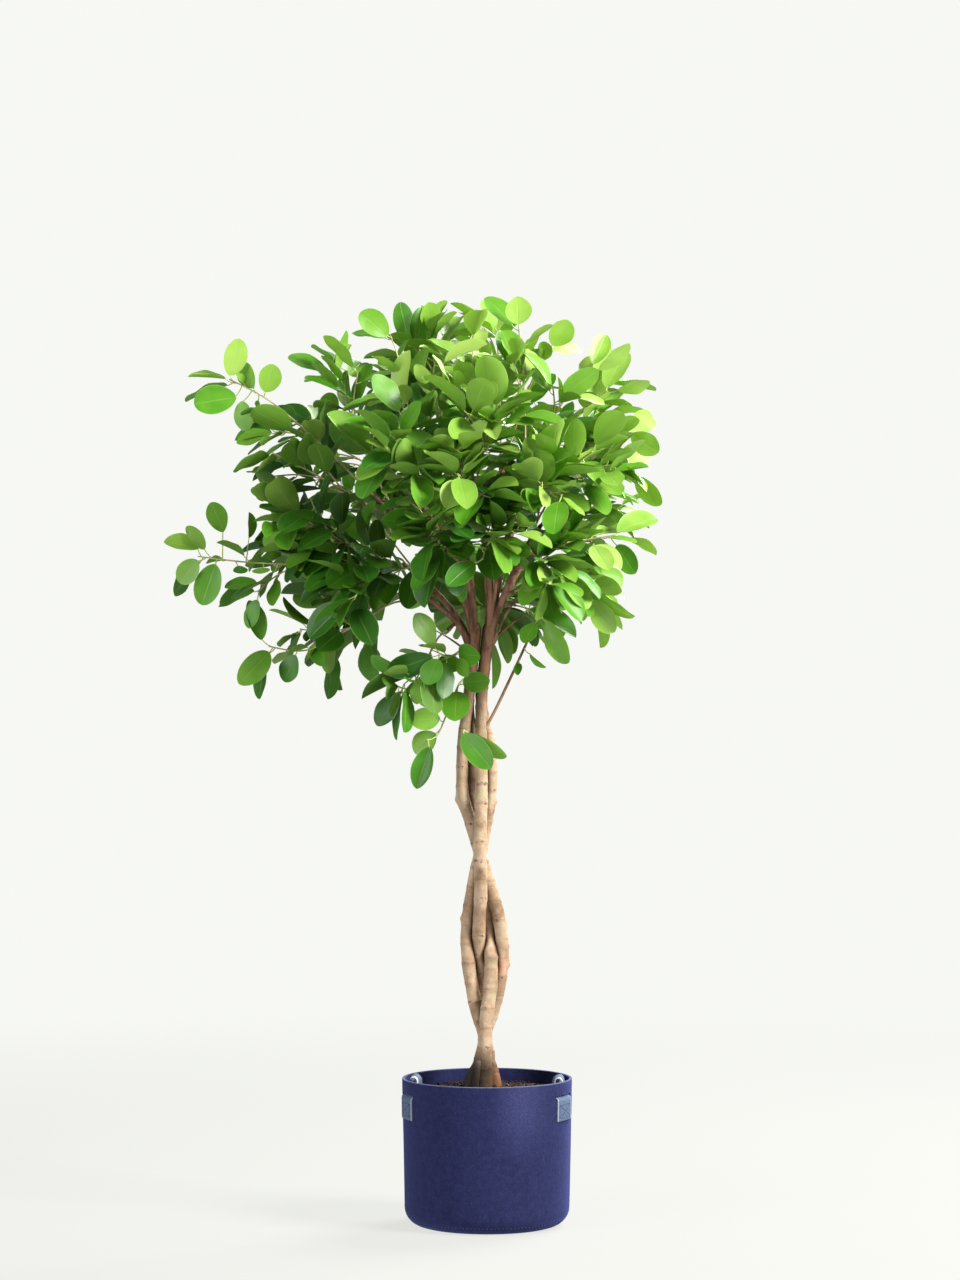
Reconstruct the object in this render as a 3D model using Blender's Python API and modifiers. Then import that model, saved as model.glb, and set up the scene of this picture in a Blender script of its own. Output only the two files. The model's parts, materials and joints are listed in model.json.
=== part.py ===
"""Potted ficus: four braided stems with a leafy crown, in a soft felt planter bag.

Metres, +Z up. The origin is the middle of the bag's base, on the floor. -Y is the front.
Tables of places are in millimetres and are scaled by MM where they are used.
"""
import math
import random

import bmesh
import bpy
from mathutils import Matrix, Vector
from mathutils.bvhtree import BVHTree

# Units and clearances
MM = 0.001
TOUCH_GAP = 0.3 * MM
SLIVER = 0.4 * MM
WELD = 0.01 * MM
SMOOTH_BELOW = 50.0
UP = Vector((0.0, 0.0, 1.0))
FRONT = Vector((0.0, -1.0, 0.0))

# Felt bag
RIM_RADIUS = 120.0 * MM
BASE_RADIUS = 116.5 * MM
BAG_HEIGHT = 207.0 * MM
FELT = 4.0 * MM
CORNER_RADIUS = 25.0 * MM
BAG_SIDES = 28
CORNER_STEPS = 3

# Webbing handles: a patch outside at each end, a slit, and a loop inside the rim
BAG_TURN = math.radians(3.1)
PATCH_ANGLE = math.radians(21.6)
STRAP_WIDTH = 44.0 * MM
STRAP_THICKNESS = 1.8 * MM
STRAP_ACROSS = 4
STRAP_RISE = 12.0 * MM
STRAP_REACH = 24.0 * MM
STRAP_LOOP_SHARES = (0.35, 0.68, 1.0)
PATCH_BOTTOM = 153.0 * MM
PATCH_TOP = 185.5 * MM
SLIT_BOTTOM = 186.2 * MM
SLIT_HEIGHT = 6.0 * MM
SLIT_WIDTH = 47.0 * MM
SLIT_DEPTH = 20.0 * MM

# Where the strap passes the slit: how far inside the wall's outer face, and the height
SLIT_ROUTE = (
    (-0.9 * MM, 188.0 * MM),
    (1.5 * MM, 189.2 * MM),
    (4.2 * MM, 189.2 * MM),
    (5.7 * MM, 190.6 * MM),
    (5.9 * MM, 196.0 * MM),
)
LOOP_RADIUS = 8.0 * MM
LOOP_MIDDLE = 101.0 * MM
LOOP_TOP = 210.0 * MM

# Soil
SOIL_EDGE_HEIGHT = 186.0 * MM
SOIL_MIDDLE_HEIGHT = 193.5 * MM
SOIL_RINGS = 3
SOIL_LUMP = 2.2 * MM
SOIL_WAVES = (130.0, 110.0)
HOLE_SIDES = 12
HOLE_MARGIN = 10.0 * MM

# Stems
STEM_RADIUS = 9.1 * MM
STEM_TOP_RADIUS = 7.8 * MM
ROOT_RADIUS = 11.8 * MM
ROOT_END = 120.0 * MM
ROOT_FLARE_TOP = 198.0 * MM
ROOT_FLARE_LENGTH = 34.0 * MM
HOLE_RADIUS = 12.7 * MM
STEM_STEP = 34.0 * MM
STEM_APART = 1.2 * MM
SPREAD_ROUNDS = 30

# Where each stem's middle is at each height: x and y in the order left, front, right, back.
# The four stand round a square in the soil, line up one behind the other at each waist of the
# braid, and side by side at each bulge.
STEM_NAMES = ("stem_left", "stem_front", "stem_right", "stem_back")
STEM_LEVELS = (
    (120, (-20, 0), (-6, -24), (8.5, 0), (-6, 24)),
    (200, (-20, 0), (-6, -24), (8.5, 0), (-6, 24)),
    (214, (-17, -3), (-5, -26), (6.5, 2), (-6, 25)),
    (234, (-9, -9), (-4, -30), (2.5, 10), (-4, 30)),
    (266, (-3, -10), (-3, -31), (-3, 11), (-3, 32)),
    (300, (-14, -9), (0, -27), (9, 9), (-5, 26)),
    (340, (-24, -6), (6, -17), (20, 4), (-9, 15)),
    (365, (-29, -3), (7, -10), (24, 3), (-11, 9)),
    (390, (-31.5, 0), (6.2, 0), (25, 0), (-12.7, 0)),
    (415, (-30.5, 1), (4, 9), (23, -2), (-13, -9)),
    (440, (-27.5, 0), (1, 15), (17, -3), (-11, -15)),
    (480, (-20, -5), (-4, 24), (3, 5), (-9, -22)),
    (522, (-10, -10), (-10, 31), (-10, 11), (-10, -30)),
    (565, (-2, -5), (-15, 24), (-22, 6), (-9, -24)),
    (602, (4, 3), (-20, 16), (-34, 0), (-8, -13)),
    (640, (6, 5), (-21, 13), (-35, -1), (-8, -10)),
    (677, (4, 7), (-22, 12), (-34, -3), (-8, -10)),
    (732, (-8, 9), (-26, 10), (-27, -8), (-8, -9)),
    (797, (-4, 9), (-21, 12), (-20, -8), (-2, -10)),
    (840, (1, 12), (-18, 15), (-16, -9), (5, -13)),
)

# The shell that tells whether a tube is clear of others
SHELL_SIDES = 6
SHELL_SWELL = 1.12

# Limbs: the stem that each forks from, the height of the fork, and where it ends
LIMB_BASE_RADIUS = 5.2 * MM
LIMB_TIP_RADIUS = 3.0 * MM
LIMB_POINTS = 4
LIMB_SINK = 3.0 * MM
LIMB_TIP_STRAY = 0.8 * MM
LIMB_BEND_STRAY = 0.6 * MM
LIMBS = {
    "left_low": ("stem_right", 800, (-130, -30, 915)),
    "left_high": ("stem_right", 825, (-140, -50, 1010)),
    "left_front": ("stem_right", 838, (-80, -90, 1010)),
    "middle_front": ("stem_back", 838, (-20, -85, 1030)),
    "right_low": ("stem_back", 805, (75, -65, 985)),
    "right_high": ("stem_back", 825, (55, -50, 1070)),
    "back_left_low": ("stem_front", 800, (-120, 60, 935)),
    "back_left_high": ("stem_front", 825, (-100, 75, 1030)),
    "back_left_middle": ("stem_front", 838, (-50, 90, 1030)),
    "back_right_low": ("stem_left", 800, (65, 65, 950)),
    "back_right_high": ("stem_left", 825, (65, 75, 1050)),
    "back_right_middle": ("stem_left", 838, (20, 55, 1070)),
}

# Leafy branches: the limb or stem that each grows from, how far up it (a share of a limb, a
# height in millimetres on a stem), where its tip is, and how much it sags in the middle
BRANCHES = (
    ("left_low", 0.95, (-405, -45, 942), 18),
    ("left_low", 0.70, (-307, -25, 816), -14),
    ("left_low", 0.85, (-300, -75, 1012), 10),
    ("left_low", 0.35, (-125, -60, 760), -20),
    ("left_high", 0.95, (-362, -35, 1191), 16),
    ("left_high", 0.80, (-300, -80, 1086), 10),
    ("left_high", 0.90, (-225, 0, 1195), 12),
    ("left_high", 0.50, (-205, -105, 912), 6),
    ("left_front", 0.85, (-125, -180, 1100), 12),
    ("left_front", 0.95, (-135, -80, 1250), 8),
    ("left_front", 0.97, (-72, -130, 1208), 10),
    ("left_front", 0.62, (-78, -185, 968), 10),
    ("stem_right", 812, (-66, -100, 806), -8),
    ("middle_front", 0.85, (-40, -215, 1050), 16),
    ("middle_front", 0.95, (20, -175, 1140), 12),
    ("middle_front", 0.97, (-20, -95, 1250), 8),
    ("middle_front", 0.58, (8, -178, 972), 12),
    ("right_low", 0.88, (75, -185, 1040), 14),
    ("right_low", 0.60, (100, -140, 930), 10),
    ("right_low", 0.79, (145, -125, 1085), 10),
    ("right_low", 0.97, (198, -35, 1120), 10),
    ("right_low", 0.69, (180, -45, 972), 10),
    ("right_low", 0.45, (146, -70, 893), 6),
    ("right_high", 0.95, (44, -60, 1262), 8),
    ("right_high", 0.90, (150, -55, 1205), 10),
    ("stem_back", 690, (80, -42, 872), 6),
    ("stem_back", 684, (-33, -56, 700), -4),
    ("stem_right", 780, (-84, -66, 686), -10),
    ("back_left_low", 0.95, (-305, 50, 972), 12),
    ("back_left_low", 0.80, (-215, 140, 1050), 12),
    ("back_left_low", 0.60, (-235, 25, 885), 4),
    ("back_left_high", 0.95, (-285, 55, 1130), 10),
    ("back_left_high", 0.75, (-140, 175, 1040), 12),
    ("back_left_high", 0.90, (-110, 150, 1185), 10),
    ("back_left_middle", 0.97, (-84, 30, 1266), 8),
    ("back_left_middle", 0.85, (-60, 200, 1080), 14),
    ("back_left_middle", 0.50, (-70, 180, 930), 10),
    ("back_left_middle", 0.93, (-4, 120, 1228), 8),
    ("back_right_low", 0.80, (138, 25, 918), 8),
    ("back_right_low", 0.90, (148, 110, 978), 10),
    ("back_right_low", 0.45, (76, 115, 876), -4),
    ("back_right_low", 0.97, (205, 30, 1060), 10),
    ("back_right_high", 0.95, (172, 40, 1180), 10),
    ("back_right_high", 0.85, (160, 120, 1080), 10),
    ("back_right_high", 0.75, (95, 180, 1100), 12),
    ("back_right_low", 0.30, (12, 140, 892), -4),
    ("back_right_middle", 0.97, (14, 40, 1266), 6),
    ("back_right_middle", 0.90, (90, 20, 1240), 8),
)
TWIG_BASE_RADIUS = 2.6 * MM
TWIG_TIP_RADIUS = 1.5 * MM
TWIG_POINTS = 5
STUB_LENGTH = 13.0 * MM
TWIG_CLEARANCE = 1.0 * MM
TWIG_TRIES = 60
TWIG_BEND_STRAY = 0.8 * MM
SHOOT_START = 0.42
SHOOT_LENGTH = (48.0 * MM, 80.0 * MM)
SHOOT_THICKER = 1.15
BARE_BRANCHES = (26, 27, 28)

# Leaves
LEAF_LENGTH = (54.0 * MM, 78.0 * MM)
LEAF_SLIMNESS = (0.52, 0.62)
LEAF_STALK = (8.0 * MM, 15.0 * MM)
LEAF_THICKNESS = 1.2 * MM
LEAF_CLEARANCE = 0.7 * MM
LEAF_APART = 4.0 * MM
LEAF_TRIES = 40
LEAF_OPENING = (38.0, 72.0)
LEAF_DROOP = (0.0, 0.3)
LEAF_ARCH = (0.03, 0.14)
LEAF_TURN_STRAY = 0.4
MARKED_TRIES = 24
MARKED_STEP = 3.0 * MM
MARKED_ARCH = 0.06
ROOT_SPOTS = 60
LEAF_OUTLINE = ((0.0, 0.06), (0.34, 0.82), (0.74, 0.96))
STALK_RADIUS = 0.65 * MM
CROWN_MIDDLE = Vector((-50.0, 0.0, 1010.0)) * MM
GOLDEN_ANGLE = math.radians(137.5)
GROWTH_SEED = 7

# Leaves that stand out against the sky or the trunk: the branch's number, the leaf's base and
# tip, its width, and how far it is turned from facing the front, in degrees
MARKED_LEAVES = (
    (1, (-404, -45, 953), (-452, -50, 964), 30, 40),
    (1, (-406, -44, 937), (-432, -40, 905), 32, 10),
    (1, (-377, -44, 938), (-401, -40, 874), 38, 5),
    (1, (-370, -41, 976), (-386, -46, 1018), 30, 15),
    (1, (-350, -38, 957), (-343, -34, 918), 28, 45),
    (1, (-311, -40, 972), (-317, -50, 918), 30, 35),
    (2, (-317, -25, 825), (-334, -28, 881), 28, 20),
    (2, (-310, -25, 806), (-324, -20, 742), 32, 50),
    (2, (-264, -24, 818), (-286, -20, 766), 32, 25),
    (2, (-210, -40, 872), (-236, -48, 812), 40, 10),
    (5, (-361, -36, 1196), (-346, -42, 1247), 34, 20),
    (5, (-367, -35, 1192), (-419, -40, 1197), 36, 78),
    (5, (-352, -36, 1166), (-410, -48, 1156), 42, 8),
    (5, (-322, -34, 1150), (-299, -44, 1211), 36, 30),
    (5, (-318, -36, 1127), (-352, -46, 1104), 32, 45),
    (7, (-228, -2, 1206), (-280, -10, 1226), 38, 55),
    (7, (-221, 0, 1206), (-196, 4, 1262), 24, 60),
    (28, (-66, -58, 716), (-108, -70, 713), 32, 5),
    (28, (-62, -58, 700), (-102, -70, 667), 34, 20),
    (28, (-80, -68, 676), (-99, -74, 618), 30, 10),
    (28, (-36, -52, 772), (2, -66, 769), 30, 5),
    (28, (-40, -54, 772), (-45, -72, 714), 41, 8),
    (27, (-34, -60, 694), (5, -78, 647), 35, 5),
    (27, (-36, -56, 709), (26, -62, 660), 25, 35),
    (4, (-124, -62, 752), (-154, -70, 706), 32, 20),
    (4, (-118, -66, 748), (-129, -74, 686), 30, 70),
    (4, (-100, -60, 768), (-58, -78, 752), 32, 10),
    (10, (-138, -84, 1248), (-176, -90, 1280), 36, 15),
    (35, (-106, 20, 1254), (-82, 8, 1302), 34, 35),
    (35, (-86, 30, 1272), (-58, 24, 1308), 34, 70),
    (47, (22, 36, 1262), (-6, 22, 1307), 30, 40),
    (24, (43, -62, 1258), (42, -76, 1303), 38, 10),
    (48, (84, 18, 1244), (116, 4, 1276), 36, 20),
    (25, (156, -58, 1202), (200, -72, 1236), 34, 55),
    (43, (186, 38, 1180), (232, 30, 1190), 34, 60),
    (21, (204, -38, 1124), (240, -46, 1088), 34, 20),
    (42, (212, 28, 1056), (246, 20, 1016), 30, 30),
    (22, (196, -46, 966), (238, -44, 946), 30, 65),
    (22, (182, -48, 958), (206, -64, 918), 30, 10),
    (23, (156, -70, 894), (204, -80, 856), 24, 55),
    (23, (148, -72, 880), (176, -88, 836), 34, 20),
    (26, (84, -42, 852), (112, -52, 792), 32, 25),
    (26, (72, -44, 856), (50, -48, 822), 26, 30),
    (26, (86, -44, 880), (116, -52, 904), 32, 35),
    (13, (-24, -70, 826), (-58, -92, 782), 34, 12),
    (13, (-70, -104, 812), (-84, -112, 764), 34, 25),
    (13, (-74, -104, 818), (-98, -112, 862), 34, 30),
)


def collection(name):
    """Make a collection in the scene."""
    made = bpy.data.collections.new(name)
    bpy.context.scene.collection.children.link(made)
    return made


def material(name, colour, roughness):
    """Make a plain Principled material."""
    made = bpy.data.materials.new(name)
    made.use_nodes = True
    shader = made.node_tree.nodes["Principled BSDF"]
    shader.inputs["Base Color"].default_value = (*colour, 1.0)
    shader.inputs["Roughness"].default_value = roughness
    shader.inputs["Metallic"].default_value = 0.0
    made.diffuse_color = (*colour, 1.0)
    return made


def mesh_object(name, vertices, faces, where):
    """Put a mesh in the scene as an object."""
    mesh = bpy.data.meshes.new(name)
    mesh.from_pydata(vertices, [], faces)
    made = bpy.data.objects.new(name, mesh)
    where.objects.link(made)
    return made


def smooth(made, angle):
    """Shade a mesh smooth, with edges sharper than the angle left sharp."""
    made.data.shade_smooth()
    made.data.set_sharp_from_angle(angle=math.radians(angle))


def turned(name, profile, sides, where):
    """Turn a profile of (radius, height) points round the Z axis."""
    points = [(radius, 0.0, height) for radius, height in profile]
    mesh = bpy.data.meshes.new(name)
    mesh.from_pydata(points, [(i, i + 1) for i in range(len(points) - 1)], [])
    made = bpy.data.objects.new(name, mesh)
    where.objects.link(made)
    screw = made.modifiers.new("turn", "SCREW")
    screw.steps = sides
    screw.render_steps = sides
    screw.use_merge_vertices = True
    screw.merge_threshold = WELD
    return made


def as_mesh(made, where):
    """Replace an object by the plain mesh that its curve or modifiers make."""
    shown = made.evaluated_get(bpy.context.evaluated_depsgraph_get())
    mesh = bpy.data.meshes.new_from_object(shown)
    weld = bmesh.new()
    weld.from_mesh(mesh)
    bmesh.ops.remove_doubles(weld, verts=weld.verts, dist=WELD)
    bmesh.ops.recalc_face_normals(weld, faces=weld.faces)
    weld.to_mesh(mesh)
    weld.free()
    name = made.name
    place = made.matrix_world.copy()
    bpy.data.objects.remove(made)
    fixed = bpy.data.objects.new(name, mesh)
    fixed.matrix_world = place
    where.objects.link(fixed)
    return fixed


def is_closed(mesh):
    """Tell whether a mesh is a closed body that faces outwards."""
    check = bmesh.new()
    check.from_mesh(mesh)
    sound = all(item.is_manifold for item in (*check.edges, *check.verts))
    outwards = check.calc_volume(signed=True) > 0.0
    check.free()
    return sound and outwards


def tube(name, points, radii, resolution, where):
    """Make a mesh tube along points, with a radius at each."""
    curve = bpy.data.curves.new(name, "CURVE")
    curve.dimensions = "3D"
    curve.bevel_depth = 1.0
    curve.bevel_resolution = resolution
    curve.use_fill_caps = True
    spline = curve.splines.new("POLY")
    spline.points.add(len(points) - 1)
    for slot, point, radius in zip(spline.points, points, radii):
        slot.co = (*point, 1.0)
        slot.radius = radius
    made = bpy.data.objects.new(name, curve)
    where.objects.link(made)
    bpy.context.view_layer.update()
    return as_mesh(made, where)


def without_slivers(mesh):
    """Merge the tiny edges that a union leaves, where the mesh stays closed."""
    tidy = bmesh.new()
    tidy.from_mesh(mesh)
    bmesh.ops.dissolve_degenerate(tidy, edges=tidy.edges, dist=SLIVER)
    bmesh.ops.triangulate(tidy, faces=tidy.faces)
    trimmed = bpy.data.meshes.new(mesh.name)
    tidy.to_mesh(trimmed)
    tidy.free()
    return trimmed if is_closed(trimmed) else mesh


def fuse(body, extras):
    """Join the extra objects to the body with one union, and remove them."""
    group = collection("joined_to_" + body.name)
    for extra in extras:
        for home in list(extra.users_collection):
            home.objects.unlink(extra)
        group.objects.link(extra)
    union = body.modifiers.new("union", "BOOLEAN")
    union.operation = "UNION"
    union.operand_type = "COLLECTION"
    union.collection = group
    for solver in ("EXACT", "MANIFOLD"):
        union.solver = solver
        shown = body.evaluated_get(bpy.context.evaluated_depsgraph_get())
        mesh = bpy.data.meshes.new_from_object(shown)
        if is_closed(mesh):
            break
        print(solver, "left", body.name, "open")
    body.modifiers.clear()
    body.data = without_slivers(mesh)
    for extra in list(group.objects):
        bpy.data.objects.remove(extra)
    bpy.data.collections.remove(group)


def cut(body, cutter, cutters):
    """Cut a body with a cutter that is itself left out of the model."""
    cutter.hide_render = True
    cutter.display_type = "WIRE"
    for home in list(cutter.users_collection):
        home.objects.unlink(cutter)
    cutters.objects.link(cutter)
    hole = body.modifiers.new("cut_" + cutter.name, "BOOLEAN")
    hole.operation = "DIFFERENCE"
    hole.object = cutter


def bag_radius(height):
    """Give the bag's outer radius at a height on its straight wall."""
    share = (height - CORNER_RADIUS) / (BAG_HEIGHT - CORNER_RADIUS)
    return BASE_RADIUS + (RIM_RADIUS - BASE_RADIUS) * share


def corner_arc(inset):
    """Give the round corner between base and wall, from the base outwards."""
    radius = CORNER_RADIUS - inset
    points = []
    for step in range(CORNER_STEPS + 1):
        angle = 0.5 * math.pi * step / CORNER_STEPS
        across = BASE_RADIUS - CORNER_RADIUS + radius * math.sin(angle)
        points.append((across, CORNER_RADIUS - radius * math.cos(angle)))
    return points


def make_pot(parts, cutters, felt):
    """Turn the felt bag and cut the four slits for the straps."""
    inside = [(0.0, FELT)] + corner_arc(FELT) + [(RIM_RADIUS - FELT, BAG_HEIGHT)]
    outside = [(RIM_RADIUS, BAG_HEIGHT)] + corner_arc(0.0)[::-1] + [(0.0, 0.0)]
    pot = turned("pot", inside + outside, BAG_SIDES, parts)
    pot.data.materials.append(felt)
    middle = bag_radius(SLIT_BOTTOM) - 0.5 * FELT
    for number, angle in enumerate(slit_angles()):
        size = (SLIT_WIDTH, SLIT_DEPTH, SLIT_HEIGHT)
        bpy.ops.mesh.primitive_cube_add(size=1.0)
        slit = bpy.context.object
        slit.name = f"slit_{number + 1}"
        slit.data.transform(Matrix.Diagonal((*size, 1.0)))
        slit.rotation_euler.z = angle + 0.5 * math.pi
        place = (middle * math.cos(angle), middle * math.sin(angle))
        slit.location = (*place, SLIT_BOTTOM + 0.5 * SLIT_HEIGHT)
        cut(pot, slit, cutters)
    return pot


def handle_middles():
    """Give the angle of each handle's middle round the bag."""
    return {"handle_right": BAG_TURN * -1.0, "handle_left": math.pi - BAG_TURN}


def slit_angles():
    """Give the angle of each slit round the bag."""
    angles = []
    for middle in handle_middles().values():
        angles.append(middle - PATCH_ANGLE)
        angles.append(middle + PATCH_ANGLE)
    return angles


def polar(radius, angle, height):
    """Give a point from its radius, angle and height."""
    return Vector((radius * math.cos(angle), radius * math.sin(angle), height))


def strap_stations():
    """Give the strap's (radius, height) from the patch's foot, through the slit, to the inside."""
    wall = bag_radius(SLIT_BOTTOM)
    seat = 0.5 * STRAP_THICKNESS + TOUCH_GAP
    stations = [(bag_radius(height) + seat, height) for height in (PATCH_BOTTOM, PATCH_TOP)]
    stations += [(wall - inward, height) for inward, height in SLIT_ROUTE]
    return stations


def loop_point(middle, offset):
    """Give a point of the folded grip at the loop's middle, offset across the strap."""
    quarter = 0.5 * math.pi * LOOP_RADIUS
    bend = max(-quarter, min(quarter, offset)) / LOOP_RADIUS
    leg = max(0.0, abs(offset) - quarter)
    radius = LOOP_MIDDLE - LOOP_RADIUS * math.sin(bend)
    height = LOOP_TOP - LOOP_RADIUS * (1.0 - math.cos(bend)) - leg
    return polar(radius, middle, height)


def bezier(start, leave, arrive, end, share):
    """Give a point on a cubic curve."""
    rest = 1.0 - share
    first = start * rest ** 3 + leave * (3.0 * rest * rest * share)
    return first + arrive * (3.0 * rest * share * share) + end * share ** 3


def strap_row(middle, side, offset):
    """Give one lengthwise line of a strap, from its patch to the loop's middle."""
    row = []
    for radius, height in strap_stations():
        angle = middle + side * (PATCH_ANGLE - offset / bag_radius(PATCH_TOP))
        row.append(polar(radius, angle, height))
    end = loop_point(middle, offset)
    along = polar(1.0, middle - side * 0.5 * math.pi, 0.0)
    start = row[-1]
    leave = start + UP * STRAP_RISE
    arrive = end - along * STRAP_REACH
    for share in STRAP_LOOP_SHARES:
        row.append(bezier(start, leave, arrive, end, share))
    return row


def make_handle(name, middle, parts, webbing):
    """Make one webbing strap as an open sheet with a thickness."""
    rows = []
    for step in range(STRAP_ACROSS + 1):
        offset = STRAP_WIDTH * (step / STRAP_ACROSS - 0.5)
        first = strap_row(middle, -1.0, offset)
        second = strap_row(middle, 1.0, offset)
        rows.append(first + second[-2::-1])
    length = len(rows[0])
    vertices = [point for row in rows for point in row]
    faces = []
    for across in range(STRAP_ACROSS):
        for along in range(length - 1):
            corner = across * length + along
            faces.append((corner, corner + 1, corner + length + 1, corner + length))
    handle = mesh_object(name, vertices, faces, parts)
    handle.data.materials.append(webbing)
    wall = handle.modifiers.new("thickness", "SOLIDIFY")
    wall.thickness = STRAP_THICKNESS
    wall.offset = 0.0
    return handle


def make_soil(parts, cutters, earth):
    """Fill the bag with soil, lumpy on top, with a plain hole for each stem."""
    edge = bag_radius(SOIL_EDGE_HEIGHT) - FELT - TOUCH_GAP
    profile = []
    for ring in range(SOIL_RINGS):
        share = ring / SOIL_RINGS
        height = SOIL_MIDDLE_HEIGHT - (SOIL_MIDDLE_HEIGHT - SOIL_EDGE_HEIGHT) * share ** 3
        profile.append((edge * share, height))
    profile.append((edge, SOIL_EDGE_HEIGHT))
    profile += corner_arc(FELT + TOUCH_GAP)[::-1]
    profile.append((0.0, FELT + TOUCH_GAP))
    soil = as_mesh(turned("soil", profile, BAG_SIDES, parts), parts)
    for vertex in soil.data.vertices:
        place = vertex.co
        if place.z > SOIL_EDGE_HEIGHT + MM:
            wave = math.sin(place.x * SOIL_WAVES[0] + 1.0) * math.cos(place.y * SOIL_WAVES[1])
            place.z += SOIL_LUMP * wave
    soil.data.materials.append(earth)
    for number, (x, y) in enumerate(STEM_LEVELS[0][1:]):
        depth = 2.0 * (SOIL_MIDDLE_HEIGHT + HOLE_MARGIN - ROOT_END + TOUCH_GAP)
        bpy.ops.mesh.primitive_cylinder_add(vertices=HOLE_SIDES, radius=HOLE_RADIUS, depth=depth)
        hole = bpy.context.object
        hole.name = f"stem_hole_{number + 1}"
        hole.location = (x * MM, y * MM, ROOT_END - TOUCH_GAP + 0.5 * depth)
        cut(soil, hole, cutters)
    return soil


def spread(middles, apart):
    """Push points that are too close to each other apart."""
    for _ in range(SPREAD_ROUNDS):
        for one in range(len(middles)):
            for other in range(one):
                between = middles[one] - middles[other]
                short = apart - between.length
                if short > 0.0:
                    between.normalize()
                    middles[one] += between * (0.5 * short)
                    middles[other] -= between * (0.5 * short)
    return middles


def stem_radius(height):
    """Give a stem's radius at a height, with its root swelling."""
    if height <= ROOT_FLARE_TOP:
        return ROOT_RADIUS
    top = STEM_LEVELS[-1][0] * MM
    share = (height - ROOT_FLARE_TOP) / (top - ROOT_FLARE_TOP)
    plain = STEM_RADIUS + (STEM_TOP_RADIUS - STEM_RADIUS) * share
    swell = max(0.0, 1.0 - (height - ROOT_FLARE_TOP) / ROOT_FLARE_LENGTH)
    return plain + (ROOT_RADIUS - plain) * swell * swell


def level_at(height):
    """Give the four stems' middles at a height, smoothly between the table's rows."""
    rows = [row[0] * MM for row in STEM_LEVELS]
    index = 0
    while index < len(rows) - 2 and rows[index + 1] < height:
        index += 1
    share = (height - rows[index]) / (rows[index + 1] - rows[index])
    share = max(0.0, min(1.0, share))
    near = [max(0, index - 1), index, index + 1, min(len(rows) - 1, index + 2)]
    middles = []
    for stem in range(len(STEM_NAMES)):
        a, b, c, d = (Vector(STEM_LEVELS[row][stem + 1]) * MM for row in near)
        bend = (b * 2.0) + (c - a) * share + (a * 2.0 - b * 5.0 + c * 4.0 - d) * share ** 2
        middles.append((bend + (b * 3.0 - a - c * 3.0 + d) * share ** 3) * 0.5)
    return spread(middles, 2.0 * stem_radius(height) + STEM_APART)


def stem_lines():
    """Give each stem's points and radii from its root to its fork."""
    top = STEM_LEVELS[-1][0] * MM
    heights = [ROOT_END, ROOT_FLARE_TOP]
    count = round((top - ROOT_FLARE_TOP) / STEM_STEP)
    heights += [ROOT_FLARE_TOP + (top - ROOT_FLARE_TOP) * i / count for i in range(1, count + 1)]
    lines = {name: ([], []) for name in STEM_NAMES}
    for height in heights:
        for name, middle in zip(STEM_NAMES, level_at(height)):
            lines[name][0].append(Vector((middle.x, middle.y, height)))
            lines[name][1].append(stem_radius(height))
    return lines


def shell_of_tube(points, radii, extra):
    """Give a closed six-sided shell round a tube, for telling whether things are clear."""
    vertices = []
    for index, point in enumerate(points):
        before = points[max(0, index - 1)]
        after = points[min(len(points) - 1, index + 1)]
        along = (after - before).normalized()
        side = along.cross(FRONT if abs(along.y) < 0.9 else UP).normalized()
        other = along.cross(side)
        reach = radii[index] * SHELL_SWELL + extra
        for step in range(SHELL_SIDES):
            turn = math.tau * step / SHELL_SIDES
            vertices.append(point + (side * math.cos(turn) + other * math.sin(turn)) * reach)
    faces = []
    for ring in range(len(points) - 1):
        for step in range(SHELL_SIDES):
            a = ring * SHELL_SIDES + step
            b = ring * SHELL_SIDES + (step + 1) % SHELL_SIDES
            faces.append((a, b, b + SHELL_SIDES, a + SHELL_SIDES))
    faces.append(tuple(range(SHELL_SIDES)))
    faces.append(tuple(range(len(vertices) - SHELL_SIDES, len(vertices))))
    return vertices, faces


def leaf_sections(leaf, extra):
    """Give a leaf's three-cornered cross-sections, from its root to before its tip."""
    side = leaf["axis"].cross(leaf["normal"])
    sections = []
    stalk = (leaf["base"] - leaf["root"]).normalized()
    stalk_side = stalk.cross(leaf["normal"]).normalized()
    if stalk_side.dot(side) < 0.0:
        stalk_side.negate()
    radius = STALK_RADIUS + extra
    below = stalk.cross(stalk_side).normalized() * radius
    if below.dot(leaf["normal"]) > 0.0:
        below.negate()
    root = leaf["root"]
    sections.append((root - stalk_side * radius - below * 0.5, root + below,
                     root + stalk_side * radius - below * 0.5))
    for along, share in LEAF_OUTLINE:
        middle = leaf_point(leaf, along) + leaf["normal"] * extra
        half = 0.5 * leaf["width"] * share + extra
        keel = leaf["normal"] * (LEAF_THICKNESS + 2.0 * extra)
        sections.append((middle - side * half, middle - keel, middle + side * half))
    return sections


def leaf_point(leaf, along):
    """Give a point on a leaf's midrib, which arches down to its tip."""
    sag = leaf["normal"] * (leaf["arch"] * leaf["length"] * along * along)
    return leaf["base"] + leaf["axis"] * (leaf["length"] * along) - sag


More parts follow.
